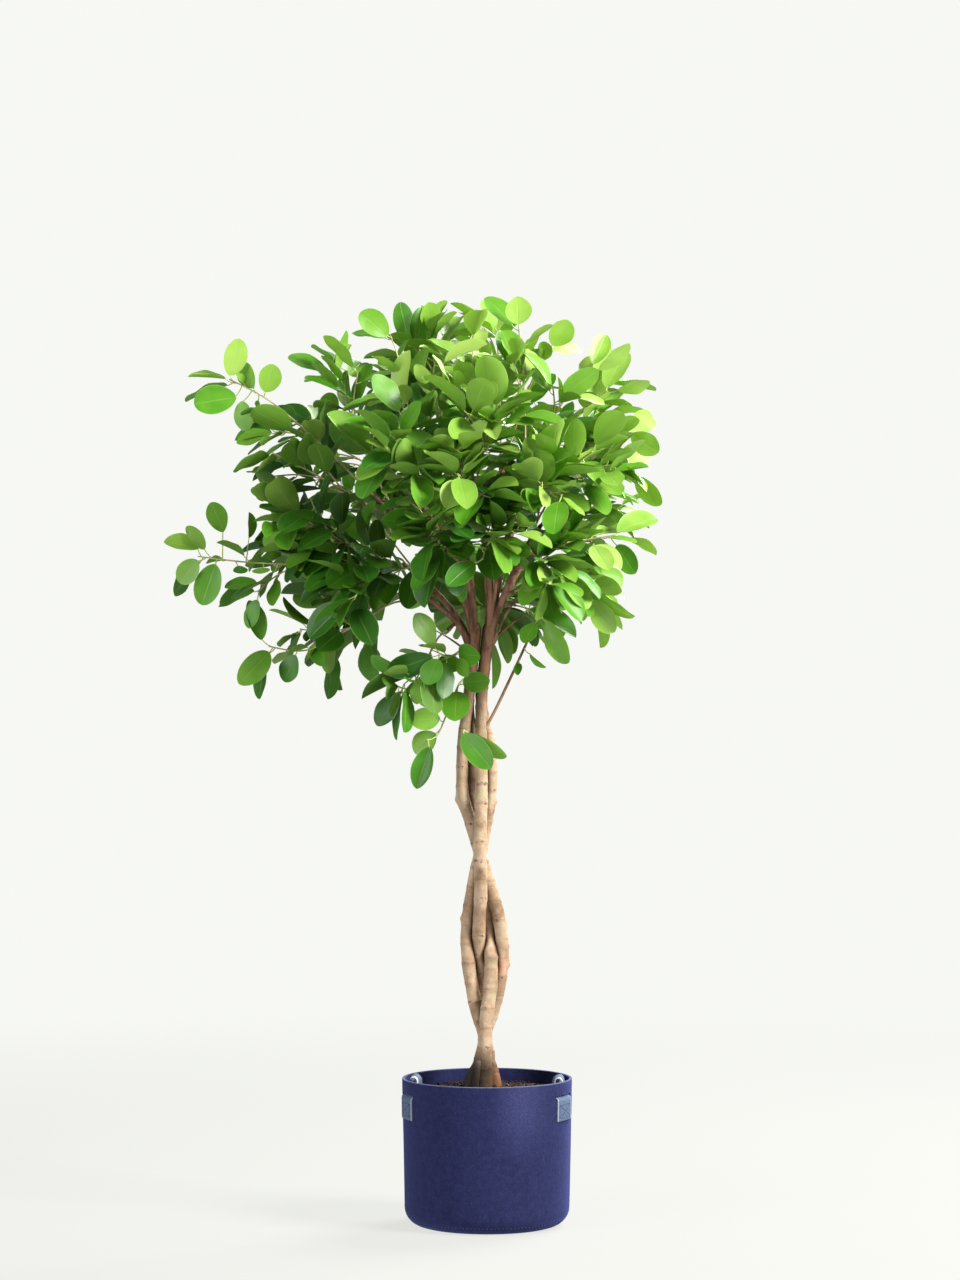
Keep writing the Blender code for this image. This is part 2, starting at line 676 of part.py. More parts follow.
def leaf_solid(leaf, extra, first=0):
    """Give the vertices and triangles of a closed leaf."""
    sections = leaf_sections(leaf, extra)[first:]
    vertices = [point for section in sections for point in section]
    tip = len(vertices)
    lean = leaf["normal"] * (0.5 * LEAF_THICKNESS)
    vertices.append(leaf_point(leaf, 1.0) - lean + leaf["axis"] * extra)
    faces = [(0, 2, 1)]
    for ring in range(len(sections) - 1):
        left, keel, right = (3 * ring + corner for corner in range(3))
        faces += [(left, keel, keel + 3), (left, keel + 3, left + 3)]
        faces += [(right, keel + 3, keel), (right, right + 3, keel + 3)]
        faces += [(left, right + 3, right), (left, left + 3, right + 3)]
    left, keel, right = tip - 3, tip - 2, tip - 1
    faces += [(left, keel, tip), (keel, right, tip), (right, left, tip)]
    return vertices, faces


class Space:
    """What is already grown, so that new growth keeps clear of it."""

    def __init__(self):
        self.shapes = []

    def add(self, owner, vertices, faces):
        """Keep a shape of an owner."""
        self.shapes.append((owner, *self.ball(vertices), BVHTree.FromPolygons(vertices, faces)))

    def ball(self, vertices):
        """Give a ball round some vertices."""
        middle = sum(vertices, Vector()) / len(vertices)
        return middle, max((vertex - middle).length for vertex in vertices)

    def is_clear(self, vertices, faces, ignored=(), only=None):
        """Tell whether a shape touches nothing kept, apart from the ignored owners."""
        middle, reach = self.ball(vertices)
        tree = None
        for owner, other, span, shape in self.shapes:
            if owner in ignored or (only is not None and owner != only):
                continue
            if (other - middle).length > reach + span:
                continue
            if tree is None:
                tree = BVHTree.FromPolygons(vertices, faces)
            if tree.overlap(shape):
                return False
        return True


def along_line(points, share):
    """Give the point and direction at a share of a line's length."""
    lengths = [(b - a).length for a, b in zip(points, points[1:])]
    left = share * sum(lengths)
    for index, length in enumerate(lengths):
        if left <= length or index == len(lengths) - 1:
            way = points[index + 1] - points[index]
            return points[index] + way * min(1.0, left / length), way.normalized()
        left -= length
    return points[-1], (points[-1] - points[-2]).normalized()


def random_way(rng):
    """Give a random direction."""
    return Vector((rng.gauss(0, 1), rng.gauss(0, 1), rng.gauss(0, 1))).normalized()


def grow_line(start, way, tip, sag, count, rng, spread_by):
    """Give a curved line from a start to a tip."""
    reach = (tip - start).length
    leave = start + way * (0.3 * reach) + random_way(rng) * spread_by
    lean = Vector((tip.x - start.x, tip.y - start.y, 0.0)) * 0.3
    arrive = tip - lean + UP * (sag * MM - 0.12 * reach) + random_way(rng) * spread_by
    return [bezier(start, leave, arrive, tip, i / (count - 1)) for i in range(count)]


def taper(first, last, count):
    """Give evenly falling radii."""
    return [first + (last - first) * i / (count - 1) for i in range(count)]


def grow_limbs(stems, space):
    """Give the limbs as lines with radii, each fused to its stem."""
    limbs = {}
    for name, (stem, height, end) in LIMBS.items():
        points = stems[stem][0]
        share = (height * MM - ROOT_END) / (points[-1].z - ROOT_END)
        start, way = along_line(points, share)
        start = start - way * LIMB_SINK
        rng = random.Random(name)
        for attempt in range(TWIG_TRIES):
            tip = Vector(end) * MM + random_way(rng) * (attempt * LIMB_TIP_STRAY)
            line = grow_line(start, way, tip, 0.0, LIMB_POINTS, rng, attempt * LIMB_BEND_STRAY)
            radii = taper(LIMB_BASE_RADIUS, LIMB_TIP_RADIUS, LIMB_POINTS)
            shell = shell_of_tube(line, radii, TWIG_CLEARANCE)
            if space.is_clear(*shell, ignored=(stem,)):
                break
        else:
            print("limb not clear:", name)
        space.add(stem, *shell_of_tube(line, radii, 0.0))
        limbs[name] = {"stem": stem, "line": line, "radii": radii}
    return limbs


def split_line(line, radii):
    """Part a line in a straight stretch near its start, leaving a thin gap."""
    index = 0
    length = 0.0
    while length + 0.5 * (line[index + 1] - line[index]).length < STUB_LENGTH:
        length += (line[index + 1] - line[index]).length
        index += 1
    middle = (line[index] + line[index + 1]) * 0.5
    way = (line[index + 1] - line[index]).normalized() * (0.5 * TOUCH_GAP)
    radius = 0.5 * (radii[index] + radii[index + 1])
    stub = (line[:index + 1] + [middle - way], radii[:index + 1] + [radius])
    rest = ([middle + way] + line[index + 1:], [radius] + radii[index + 1:])
    return stub, rest


def grow_branch(number, stems, limbs, space):
    """Grow one branch: its stub on the limb, its twig, and one side shoot."""
    home, place, tip, sag = BRANCHES[number - 1]
    name = f"branch_{number:02d}"
    if home in limbs:
        stem = limbs[home]["stem"]
        start, way = along_line(limbs[home]["line"], place)
    else:
        stem = home
        points = stems[stem][0]
        start, way = along_line(points, (place * MM - ROOT_END) / (points[-1].z - ROOT_END))
    rng = random.Random(GROWTH_SEED * 1000 + number)
    end = Vector(tip) * MM
    way = (way + (end - start).normalized() * 1.2).normalized()
    radii = taper(TWIG_BASE_RADIUS, TWIG_TIP_RADIUS, TWIG_POINTS)
    for attempt in range(TWIG_TRIES):
        line = grow_line(start, way, end, sag, TWIG_POINTS, rng, attempt * TWIG_BEND_STRAY)
        stub, twig = split_line(line, radii)
        stub_clear = space.is_clear(*shell_of_tube(*stub, TWIG_CLEARANCE), ignored=(stem,))
        if stub_clear and space.is_clear(*shell_of_tube(*twig, TWIG_CLEARANCE)):
            break
    else:
        print("branch not clear:", name)
    space.add(stem, *shell_of_tube(*stub, 0.0))
    space.add(name, *shell_of_tube(*twig, 0.0))
    branch = {"name": name, "stem": stem, "stub": stub, "twigs": [twig], "leaves": []}
    shoot = None if number in BARE_BRANCHES else grow_shoot(branch, SHOOT_START, rng, space)
    if shoot:
        branch["twigs"].append(shoot)
    return branch


def grow_shoot(branch, share, rng, space):
    """Give a short side shoot from a branch's main twig, or None where nothing is clear."""
    points, radii = branch["twigs"][0]
    start, way = along_line(points, share)
    outward = (start - CROWN_MIDDLE).normalized()
    for _ in range(TWIG_TRIES):
        length = rng.uniform(*SHOOT_LENGTH)
        side = way.cross(random_way(rng)).normalized()
        aim = (way * 0.75 + side * 0.8 + outward * 0.45 + UP * 0.15).normalized()
        tip = start + aim * length
        line = [start, start + (aim + way * 0.35).normalized() * (0.5 * length), tip]
        thick = TWIG_TIP_RADIUS * SHOOT_THICKER
        shoot = (line, [thick, thick, TWIG_TIP_RADIUS])
        if space.is_clear(*shell_of_tube(*shoot, TWIG_CLEARANCE), ignored=(branch["name"],)):
            space.add(branch["name"], *shell_of_tube(*shoot, 0.0))
            return shoot
    return None


def nearest_on_twigs(branch, point):
    """Give the closest point on a branch's twigs that no leaf grows from yet."""
    spots = []
    for points, _ in branch["twigs"]:
        shares = (0.1 + 0.88 * step / ROOT_SPOTS for step in range(ROOT_SPOTS + 1))
        spots += [along_line(points, share)[0] for share in shares]
    roots = [leaf["root"] for leaf in branch["leaves"]]
    free = [s for s in spots if all((s - root).length > LEAF_APART for root in roots)]
    return min(free, key=lambda spot: (spot - point).length)


def leaf_fits(leaf, branch, space):
    """Tell whether a leaf is clear of other growth, and its blade of its own branch."""
    whole = leaf_solid(leaf, LEAF_CLEARANCE)
    if not space.is_clear(*whole, ignored=(branch["name"], branch["name"] + "_stalks")):
        return False
    blade = leaf_solid(leaf, LEAF_CLEARANCE, first=1)
    return space.is_clear(*blade, only=branch["name"])


def keep_leaf(leaf, branch, space):
    """Add a leaf to its branch."""
    branch["leaves"].append(leaf)
    space.add(branch["name"], *leaf_solid(leaf, 0.0, first=1))
    stalk = [leaf["root"], leaf["base"]]
    space.add(branch["name"] + "_stalks", *shell_of_tube(stalk, [STALK_RADIUS] * 2, 0.0))


def grow_marked_leaf(branch, base, tip, width, roll, space):
    """Place a leaf from its base to its tip, moved in depth until it is clear."""
    for step in range(MARKED_TRIES):
        shift = Vector((0.0, (0.5 * step if step % 2 else -0.5 * step) * MARKED_STEP, 0.0))
        start = Vector(base) * MM
        end = Vector(tip) * MM + shift
        root = nearest_on_twigs(branch, start)
        if (start - root).normalized().dot((end - start).normalized()) < 0.5:
            start = root + (end - root).normalized() * LEAF_STALK[0]
        axis = (end - start).normalized()
        normal = (FRONT - axis * FRONT.dot(axis)).normalized()
        normal.rotate(Matrix.Rotation(math.radians(roll), 3, axis))
        if normal.z < 0.0 and roll > 60:
            normal.negate()
        leaf = {"root": root, "base": start, "axis": axis, "normal": normal,
                "length": (end - start).length, "width": width * MM, "arch": MARKED_ARCH}
        if leaf_fits(leaf, branch, space):
            keep_leaf(leaf, branch, space)
            return True
    print("marked leaf left out:", branch["name"], tip)
    return False


def grow_leaf(branch, spot, way, turn, size, rng, space):
    """Place a leaf beside a twig by the growing rule, or leave it out where nothing is clear."""
    across = way.cross(UP if abs(way.z) < 0.9 else FRONT).normalized()
    outward = (spot - CROWN_MIDDLE).normalized()
    for attempt in range(LEAF_TRIES):
        stray = rng.uniform(-LEAF_TURN_STRAY, LEAF_TURN_STRAY)
        around = turn + stray * (1.0 + 0.2 * attempt)
        radial = Matrix.Rotation(around, 3, way) @ across
        open_angle = math.radians(rng.uniform(*LEAF_OPENING))
        axis = way * math.cos(open_angle) + radial * math.sin(open_angle)
        axis = (axis + outward * 0.3 - UP * rng.uniform(*LEAF_DROOP)).normalized()
        wish = outward * 0.55 + UP * 0.65 + FRONT * 0.12 + random_way(rng) * 0.55
        normal = (wish - axis * wish.dot(axis)).normalized()
        length = rng.uniform(*LEAF_LENGTH) * size
        stalk = rng.uniform(*LEAF_STALK)
        leaf = {"root": spot, "base": spot + (axis + radial * 0.3).normalized() * stalk,
                "axis": axis, "normal": normal, "length": length,
                "width": length * rng.uniform(*LEAF_SLIMNESS), "arch": rng.uniform(*LEAF_ARCH)}
        if leaf_fits(leaf, branch, space):
            keep_leaf(leaf, branch, space)
            return True
    return False


def leaf_spots(points, first, count):
    """Give evenly spaced shares along a twig, the last at its tip."""
    return [first + (0.97 - first) * i / max(1, count - 1) for i in range(count)]


def grow_leaves(branch, number, space):
    """Grow a branch's leaves along its twigs, alternating round them."""
    rng = random.Random(GROWTH_SEED * 2000 + number)
    marked = [row for row in MARKED_LEAVES if row[0] == number]
    turn = rng.uniform(0.0, math.tau)
    if number in BARE_BRANCHES:
        return
    plans = [(0, 0.34, 2 if marked else 4)]
    plans += [(index, 0.55, 2) for index in range(1, len(branch["twigs"]))]
    for index, first, count in plans:
        points = branch["twigs"][index][0]
        for share in leaf_spots(points, first, count):
            spot, way = along_line(points, share)
            grow_leaf(branch, spot, way, turn, 1.08 - 0.2 * share, rng, space)
            turn += GOLDEN_ANGLE


def grow_plant():
    """Grow the stems, limbs, branches and leaves, each clear of what grew before it."""
    space = Space()
    stems = stem_lines()
    for name, (points, radii) in stems.items():
        space.add(name, *shell_of_tube(points, radii, 0.0))
    limbs = grow_limbs(stems, space)
    numbers = range(1, len(BRANCHES) + 1)
    branches = [grow_branch(number, stems, limbs, space) for number in numbers]
    for number, base, tip, width, roll in MARKED_LEAVES:
        grow_marked_leaf(branches[number - 1], base, tip, width, roll, space)
    for number, branch in zip(numbers, branches):
        grow_leaves(branch, number, space)
    return stems, limbs, branches


def make_stem(name, stems, limbs, branches, parts, bark):
    """Make one stem with its limbs and the stubs of its branches in one solid."""
    stem = tube(name, *stems[name], 2, parts)
    extras = []
    for limb_name, limb in limbs.items():
        if limb["stem"] == name:
            extras.append(tube(limb_name, limb["line"], limb["radii"], 1, parts))
    for branch in branches:
        if branch["stem"] == name:
            extras.append(tube(branch["name"] + "_stub", *branch["stub"], 0, parts))
    fuse(stem, extras)
    stem.data.materials.clear()
    stem.data.materials.append(bark)
    smooth(stem, SMOOTH_BELOW)
    return stem


def make_branch(branch, parts, green):
    """Make one leafy branch: its twigs and leaves in one solid."""
    extras = []
    for index, (points, radii) in enumerate(branch["twigs"][1:]):
        extras.append(tube(f"{branch['name']}_shoot_{index}", points, radii, 0, parts))
    for index, leaf in enumerate(branch["leaves"]):
        vertices, faces = leaf_solid(leaf, 0.0)
        extras.append(mesh_object(f"{branch['name']}_leaf_{index}", vertices, faces, parts))
    made = tube(branch["name"], *branch["twigs"][0], 0, parts)
    fuse(made, extras)
    made.data.materials.clear()
    made.data.materials.append(green)
    return made


def main():
    """Make the whole potted ficus."""
    for old in list(bpy.data.objects):
        bpy.data.objects.remove(old)
    parts = collection("potted_ficus")
    cutters = collection("cutters")
    felt = material("navy_felt", (0.035, 0.04, 0.12), 0.95)
    webbing = material("grey_blue_webbing", (0.25, 0.31, 0.43), 0.8)
    earth = material("dark_soil", (0.035, 0.022, 0.014), 1.0)
    bark = material("pale_bark", (0.42, 0.29, 0.19), 0.8)
    green = material("green_leaf", (0.08, 0.3, 0.03), 0.4)
    make_pot(parts, cutters, felt)
    make_soil(parts, cutters, earth)
    for name, middle in handle_middles().items():
        make_handle(name, middle, parts, webbing)
    stems, limbs, branches = grow_plant()
    for name in STEM_NAMES:
        make_stem(name, stems, limbs, branches, parts, bark)
    for branch in branches:
        make_branch(branch, parts, green)
    leaves = sum(len(branch["leaves"]) for branch in branches)
    print(len(branches), "branches with", leaves, "leaves")


main()
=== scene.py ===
# %% [markdown]
# A potted ficus: four living stems, braided over each other, carry a round crown of glossy leaves,
# and stand in the soil of a soft felt planter bag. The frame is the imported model, whose plain
# solids say where everything is. This script dresses it: every piece below stands for one node of
# the frame, in the same place, but with the form and finish of the real thing.

# %% Load the frame
import json
import math
import random

import bpy
from mathutils import Matrix, Vector
from mathutils import noise as vector_noise
from mathutils.bvhtree import BVHTree

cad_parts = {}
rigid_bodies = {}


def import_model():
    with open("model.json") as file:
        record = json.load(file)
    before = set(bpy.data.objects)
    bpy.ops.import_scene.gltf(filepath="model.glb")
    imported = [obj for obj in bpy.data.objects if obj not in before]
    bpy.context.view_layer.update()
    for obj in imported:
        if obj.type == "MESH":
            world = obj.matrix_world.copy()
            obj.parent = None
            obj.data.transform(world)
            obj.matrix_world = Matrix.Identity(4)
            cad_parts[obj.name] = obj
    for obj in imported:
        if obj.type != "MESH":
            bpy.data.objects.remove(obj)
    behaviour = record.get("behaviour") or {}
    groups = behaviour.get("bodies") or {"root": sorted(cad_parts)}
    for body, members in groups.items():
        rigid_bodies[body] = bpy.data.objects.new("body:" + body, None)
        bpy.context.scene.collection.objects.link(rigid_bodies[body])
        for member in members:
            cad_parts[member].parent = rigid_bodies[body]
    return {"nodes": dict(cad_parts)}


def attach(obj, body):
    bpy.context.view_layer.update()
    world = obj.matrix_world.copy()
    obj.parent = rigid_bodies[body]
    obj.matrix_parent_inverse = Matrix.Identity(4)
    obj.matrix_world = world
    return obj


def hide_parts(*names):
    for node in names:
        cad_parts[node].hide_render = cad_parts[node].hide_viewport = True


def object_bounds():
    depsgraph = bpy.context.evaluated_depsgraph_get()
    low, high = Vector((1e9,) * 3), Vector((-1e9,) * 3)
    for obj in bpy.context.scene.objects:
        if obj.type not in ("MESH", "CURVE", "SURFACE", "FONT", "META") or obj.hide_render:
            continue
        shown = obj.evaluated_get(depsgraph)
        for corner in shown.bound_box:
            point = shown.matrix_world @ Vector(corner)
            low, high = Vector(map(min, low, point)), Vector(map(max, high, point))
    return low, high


for old in list(bpy.data.objects):
    bpy.data.objects.remove(old)
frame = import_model()
CAD_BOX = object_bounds()
MM = 0.001
UP = Vector((0.0, 0.0, 1.0))
FRONT = Vector((0.0, -1.0, 0.0))
print("frame nodes:", len(frame["nodes"]), "box:", *CAD_BOX)

# %% [markdown]
# The camera stands level, a little above the middle of the plant and far away, as for a catalogue
# picture, so there is hardly any perspective. Its height and distance could be found by trial, but
# the rim of the bag settles them: how much of the rim's far side shows gives the height of the
# horizon above it. The long lens then frames the whole plant with room around it.

# %% Camera
CAMERA_PLACE = (-0.0099, -5.2, 0.825)
FOCAL_PIXELS = 3680.0
FRAME_HEIGHT_PIXELS = 1280.0
SENSOR = 36.0

camera = bpy.data.objects.new("camera", bpy.data.cameras.new("camera"))
bpy.context.scene.collection.objects.link(camera)
camera.location = CAMERA_PLACE
camera.rotation_euler = (math.radians(90.0), 0.0, 0.0)
camera.data.sensor_width = SENSOR
camera.data.lens = SENSOR * FOCAL_PIXELS / FRAME_HEIGHT_PIXELS
bpy.context.scene.camera = camera
print("camera lens:", round(camera.data.lens, 1), "mm")

# %% [markdown]
# Materials here are small node graphs. A helper adds one node with its settings and inputs, where
# an input is either a value or another node's output, so that each material below reads as a list
# of what it mixes. The patterns read object coordinates, or a map or attribute of the piece.

# %% Node helpers
def feed(tree, value, socket):
    """Give an input a number, a colour, or another node's output."""
    if isinstance(value, bpy.types.NodeSocket):
        tree.links.new(value, socket)
    elif socket.type == "RGBA":
        socket.default_value = (*value, 1.0)
    else:
        socket.default_value = value


def add(tree, kind, settings=None, **inputs):
    """Add a shader node. An input named _0, _1 and so on is found by its place."""
    made = tree.nodes.new("ShaderNode" + kind)
    for name, value in (settings or {}).items():
        setattr(made, name, value)
    for name, value in inputs.items():
        key = int(name[1:]) if name[0] == "_" else name.replace("_", " ")
        feed(tree, value, made.inputs[key])
    return made


def ramp(tree, value, *stops):
    """Map a value to colours. Each stop is a place from 0 to 1 and a colour."""
    made = add(tree, "ValToRGB", Fac=value)
    marks = made.color_ramp.elements
    while len(marks) < len(stops):
        marks.new(1.0)
    for mark, (place, colour) in zip(marks, stops):
        mark.position = place
        mark.color = (*colour, 1.0)
    return made.outputs["Color"]


def span(tree, value, low, high, to_low=0.0, to_high=1.0):
    """Map a value from one range to another, smoothly and held at the ends."""
    made = add(tree, "MapRange", {"interpolation_type": "SMOOTHSTEP"}, Value=value,
               From_Min=low, From_Max=high, To_Min=to_low, To_Max=to_high)
    return made.outputs["Result"]


def maths(tree, operation, *values):
    """Do a sum on values."""
    places = {f"_{place}": value for place, value in enumerate(values)}
    return add(tree, "Math", {"operation": operation}, **places).outputs[0]


def times(tree, first, *others):
    """Multiply values."""
    result = first
    for value in others:
        result = maths(tree, "MULTIPLY", result, value)
    return result


def away_from(tree, value, middle):
    """Tell how far a value is from a middle one."""
    return maths(tree, "ABSOLUTE", maths(tree, "SUBTRACT", value, middle))


# %% Patterns, and how they are mixed
def changed(tree, place, operation, by):
    """Stretch or move the coordinates that a pattern reads."""
    return add(tree, "VectorMath", {"operation": operation}, _0=place, _1=by).outputs[0]


def attribute(tree, name):
    """Read a number that the mesh carries."""
    return add(tree, "Attribute", {"attribute_name": name}).outputs["Fac"]


def noise(tree, place, scale, detail=2.0, roughness=0.5):
    """Give a noise pattern from 0 to 1."""
    made = add(tree, "TexNoise", Vector=place, Scale=scale, Detail=detail, Roughness=roughness)
    return made.outputs["Fac"]


def mix(tree, share, first, second):
    """Mix two colours, each a colour or an output."""
    return add(tree, "Mix", {"data_type": "RGBA"}, _0=share, _6=first, _7=second).outputs[2]


def stain(tree, colour, pattern, limits, share, second):
    """Lay a second colour over a first where a pattern is strong, up to a share."""
    return mix(tree, span(tree, pattern, *limits, 0.0, share), colour, second)


def bump(tree, height, distance, strength=1.0):
    """Give a normal that shows a height pattern of the given depth in metres."""
    made = add(tree, "Bump", Height=height, Distance=distance, Strength=strength)
    return made.outputs["Normal"]


# %% The start and the end of a material
def new_material(name):
    """Start a material, and give it with its tree, its shader and the object coordinates."""
    made = bpy.data.materials.new(name)
    made.use_nodes = True
    tree = made.node_tree
    place = add(tree, "TexCoord").outputs["Object"]
    return made, tree, tree.nodes["Principled BSDF"], place


def finish(tree, shader, colour, roughness, shine=0.5, normal=None):
    """Give a shader its colour, its roughness, its shine and its relief."""
    feed(tree, colour, shader.inputs["Base Color"])
    feed(tree, roughness, shader.inputs["Roughness"])
    shader.inputs["Specular IOR Level"].default_value = shine
    if normal is not None:
        tree.links.new(normal, shader.inputs["Normal"])


# %% [markdown]
# The floor is a plain pale disc. A real studio floor runs up into a backdrop, but a wall would hide
# the plant from behind, so the disc fades at its edge into the pale light of the studio instead.

# %% Floor and studio light
STUDIO_PALE = (0.930, 0.939, 0.896)
FLOOR_GREY = (0.30, 0.303, 0.295)
FLOOR_RADIUS = 3.2
FLOOR_FADE_START = 1.1
FLOOR_GLOW = 0.76
FLOOR_SIDES = 96


def make_floor():
    """Make the pale floor, which fades into the studio's light."""
    bpy.ops.mesh.primitive_circle_add(vertices=FLOOR_SIDES, radius=FLOOR_RADIUS, fill_type="NGON")
    floor = bpy.context.object
    floor.name = "studio_floor"
    made, tree, shader, place = new_material("pale_floor")
    finish(tree, shader, FLOOR_GREY, 0.9)
    reach = add(tree, "VectorMath", {"operation": "LENGTH"}, _0=place).outputs["Value"]
    fade = span(tree, reach, FLOOR_FADE_START, FLOOR_RADIUS * 0.97, FLOOR_GLOW, 1.0)
    glow = add(tree, "Emission", Color=STUDIO_PALE, Strength=1.0).outputs[0]
    both = add(tree, "MixShader", _0=fade, _1=shader.outputs[0], _2=glow).outputs[0]
    tree.links.new(both, tree.nodes["Material Output"].inputs["Surface"])
    floor.data.materials.append(made)


# %% Air and lamps
def make_studio_air(seen, light):
    """Make the pale surroundings: what the camera sees, and how strongly they light the plant."""
    world = bpy.data.worlds.new("studio_air")
    bpy.context.scene.world = world
    world.use_nodes = True
    tree = world.node_tree
    tree.nodes["Background"].inputs["Color"].default_value = (*STUDIO_PALE, 1.0)
    to_camera = add(tree, "LightPath").outputs["Is Camera Ray"]
    strength = maths(tree, "MULTIPLY_ADD", to_camera, seen - light, light)
    tree.links.new(strength, tree.nodes["Background"].inputs["Strength"])


def make_softbox(name, place, target, width, power, colour):
    """Hang a square soft light that faces a point."""
    lamp = bpy.data.lights.new(name, "AREA")
    lamp.size = width
    lamp.energy = power
    lamp.color = colour
    made = bpy.data.objects.new(name, lamp)
    bpy.context.scene.collection.objects.link(made)
    made.location = place
    made.rotation_euler = (Vector(target) - Vector(place)).to_track_quat("-Z", "Y").to_euler()


CROWN_LIGHT_TARGET = (-0.05, 0.0, 0.9)
make_floor()
make_studio_air(seen=1.0, light=0.33)
make_softbox("key_right", (2.7, -1.6, 2.6), CROWN_LIGHT_TARGET, 1.3, 315.0, (1.0, 0.98, 0.92))
make_softbox("rim_right", (1.6, 1.9, 2.7), CROWN_LIGHT_TARGET, 1.6, 215.0, (1.0, 1.0, 0.96))
make_softbox("fill_left", (-2.8, -2.6, 1.6), CROWN_LIGHT_TARGET, 2.4, 95.0, (0.98, 0.99, 1.0))
bpy.context.scene.view_settings.view_transform = "Standard"

# %% [markdown]
# A living plant has no drawing, so it is grown by rule. The four stems follow a table of levels:
# at each waist of the braid they line up one behind the other, and at each bulge they stand side
# by side. Limbs fork from the stems' tops, leafy twigs grow from the limbs, and every new part is
# kept clear of what grew before it. The rule and its seeds are the frame's own, so that each twig
# and leaf here lies exactly where the frame has it.

# %% Sizes of the stems, limbs and twigs
TOUCH_GAP = 0.3 * MM

STEM_RADIUS = 9.1 * MM
STEM_TOP_RADIUS = 7.8 * MM
ROOT_RADIUS = 11.8 * MM
ROOT_END = 120.0 * MM
ROOT_FLARE_TOP = 198.0 * MM
ROOT_FLARE_LENGTH = 34.0 * MM

STEM_STEP = 34.0 * MM
STEM_APART = 1.2 * MM
SPREAD_ROUNDS = 30

STEM_NAMES = ("stem_left", "stem_front", "stem_right", "stem_back")
STEM_LEVELS = (
    (120, (-20, 0), (-6, -24), (8.5, 0), (-6, 24)),
    (200, (-20, 0), (-6, -24), (8.5, 0), (-6, 24)),
    (214, (-17, -3), (-5, -26), (6.5, 2), (-6, 25)),
    (234, (-9, -9), (-4, -30), (2.5, 10), (-4, 30)),
    (266, (-3, -10), (-3, -31), (-3, 11), (-3, 32)),
    (300, (-14, -9), (0, -27), (9, 9), (-5, 26)),
    (340, (-24, -6), (6, -17), (20, 4), (-9, 15)),
    (365, (-29, -3), (7, -10), (24, 3), (-11, 9)),
    (390, (-31.5, 0), (6.2, 0), (25, 0), (-12.7, 0)),
    (415, (-30.5, 1), (4, 9), (23, -2), (-13, -9)),
    (440, (-27.5, 0), (1, 15), (17, -3), (-11, -15)),
    (480, (-20, -5), (-4, 24), (3, 5), (-9, -22)),
    (522, (-10, -10), (-10, 31), (-10, 11), (-10, -30)),
    (565, (-2, -5), (-15, 24), (-22, 6), (-9, -24)),
    (602, (4, 3), (-20, 16), (-34, 0), (-8, -13)),
    (640, (6, 5), (-21, 13), (-35, -1), (-8, -10)),
    (677, (4, 7), (-22, 12), (-34, -3), (-8, -10)),
    (732, (-8, 9), (-26, 10), (-27, -8), (-8, -9)),
    (797, (-4, 9), (-21, 12), (-20, -8), (-2, -10)),
    (840, (1, 12), (-18, 15), (-16, -9), (5, -13)),
)


# %% Where each limb forks and ends
LIMB_BASE_RADIUS = 5.2 * MM
LIMB_TIP_RADIUS = 3.0 * MM
LIMB_POINTS = 4
LIMB_SINK = 3.0 * MM
LIMB_TIP_STRAY = 0.8 * MM
LIMB_BEND_STRAY = 0.6 * MM

# The stem, the height in mm at which the limb leaves it, and the limb's end
LIMBS = {
    "left_low": ("stem_right", 800, (-130, -30, 915)),
    "left_high": ("stem_right", 825, (-140, -50, 1010)),
    "left_front": ("stem_right", 838, (-80, -90, 1010)),
    "middle_front": ("stem_back", 838, (-20, -85, 1030)),
    "right_low": ("stem_back", 805, (75, -65, 985)),
    "right_high": ("stem_back", 825, (55, -50, 1070)),
    "back_left_low": ("stem_front", 800, (-120, 60, 935)),
    "back_left_high": ("stem_front", 825, (-100, 75, 1030)),
    "back_left_middle": ("stem_front", 838, (-50, 90, 1030)),
    "back_right_low": ("stem_left", 800, (65, 65, 950)),
    "back_right_high": ("stem_left", 825, (65, 75, 1050)),
    "back_right_middle": ("stem_left", 838, (20, 55, 1070)),
}
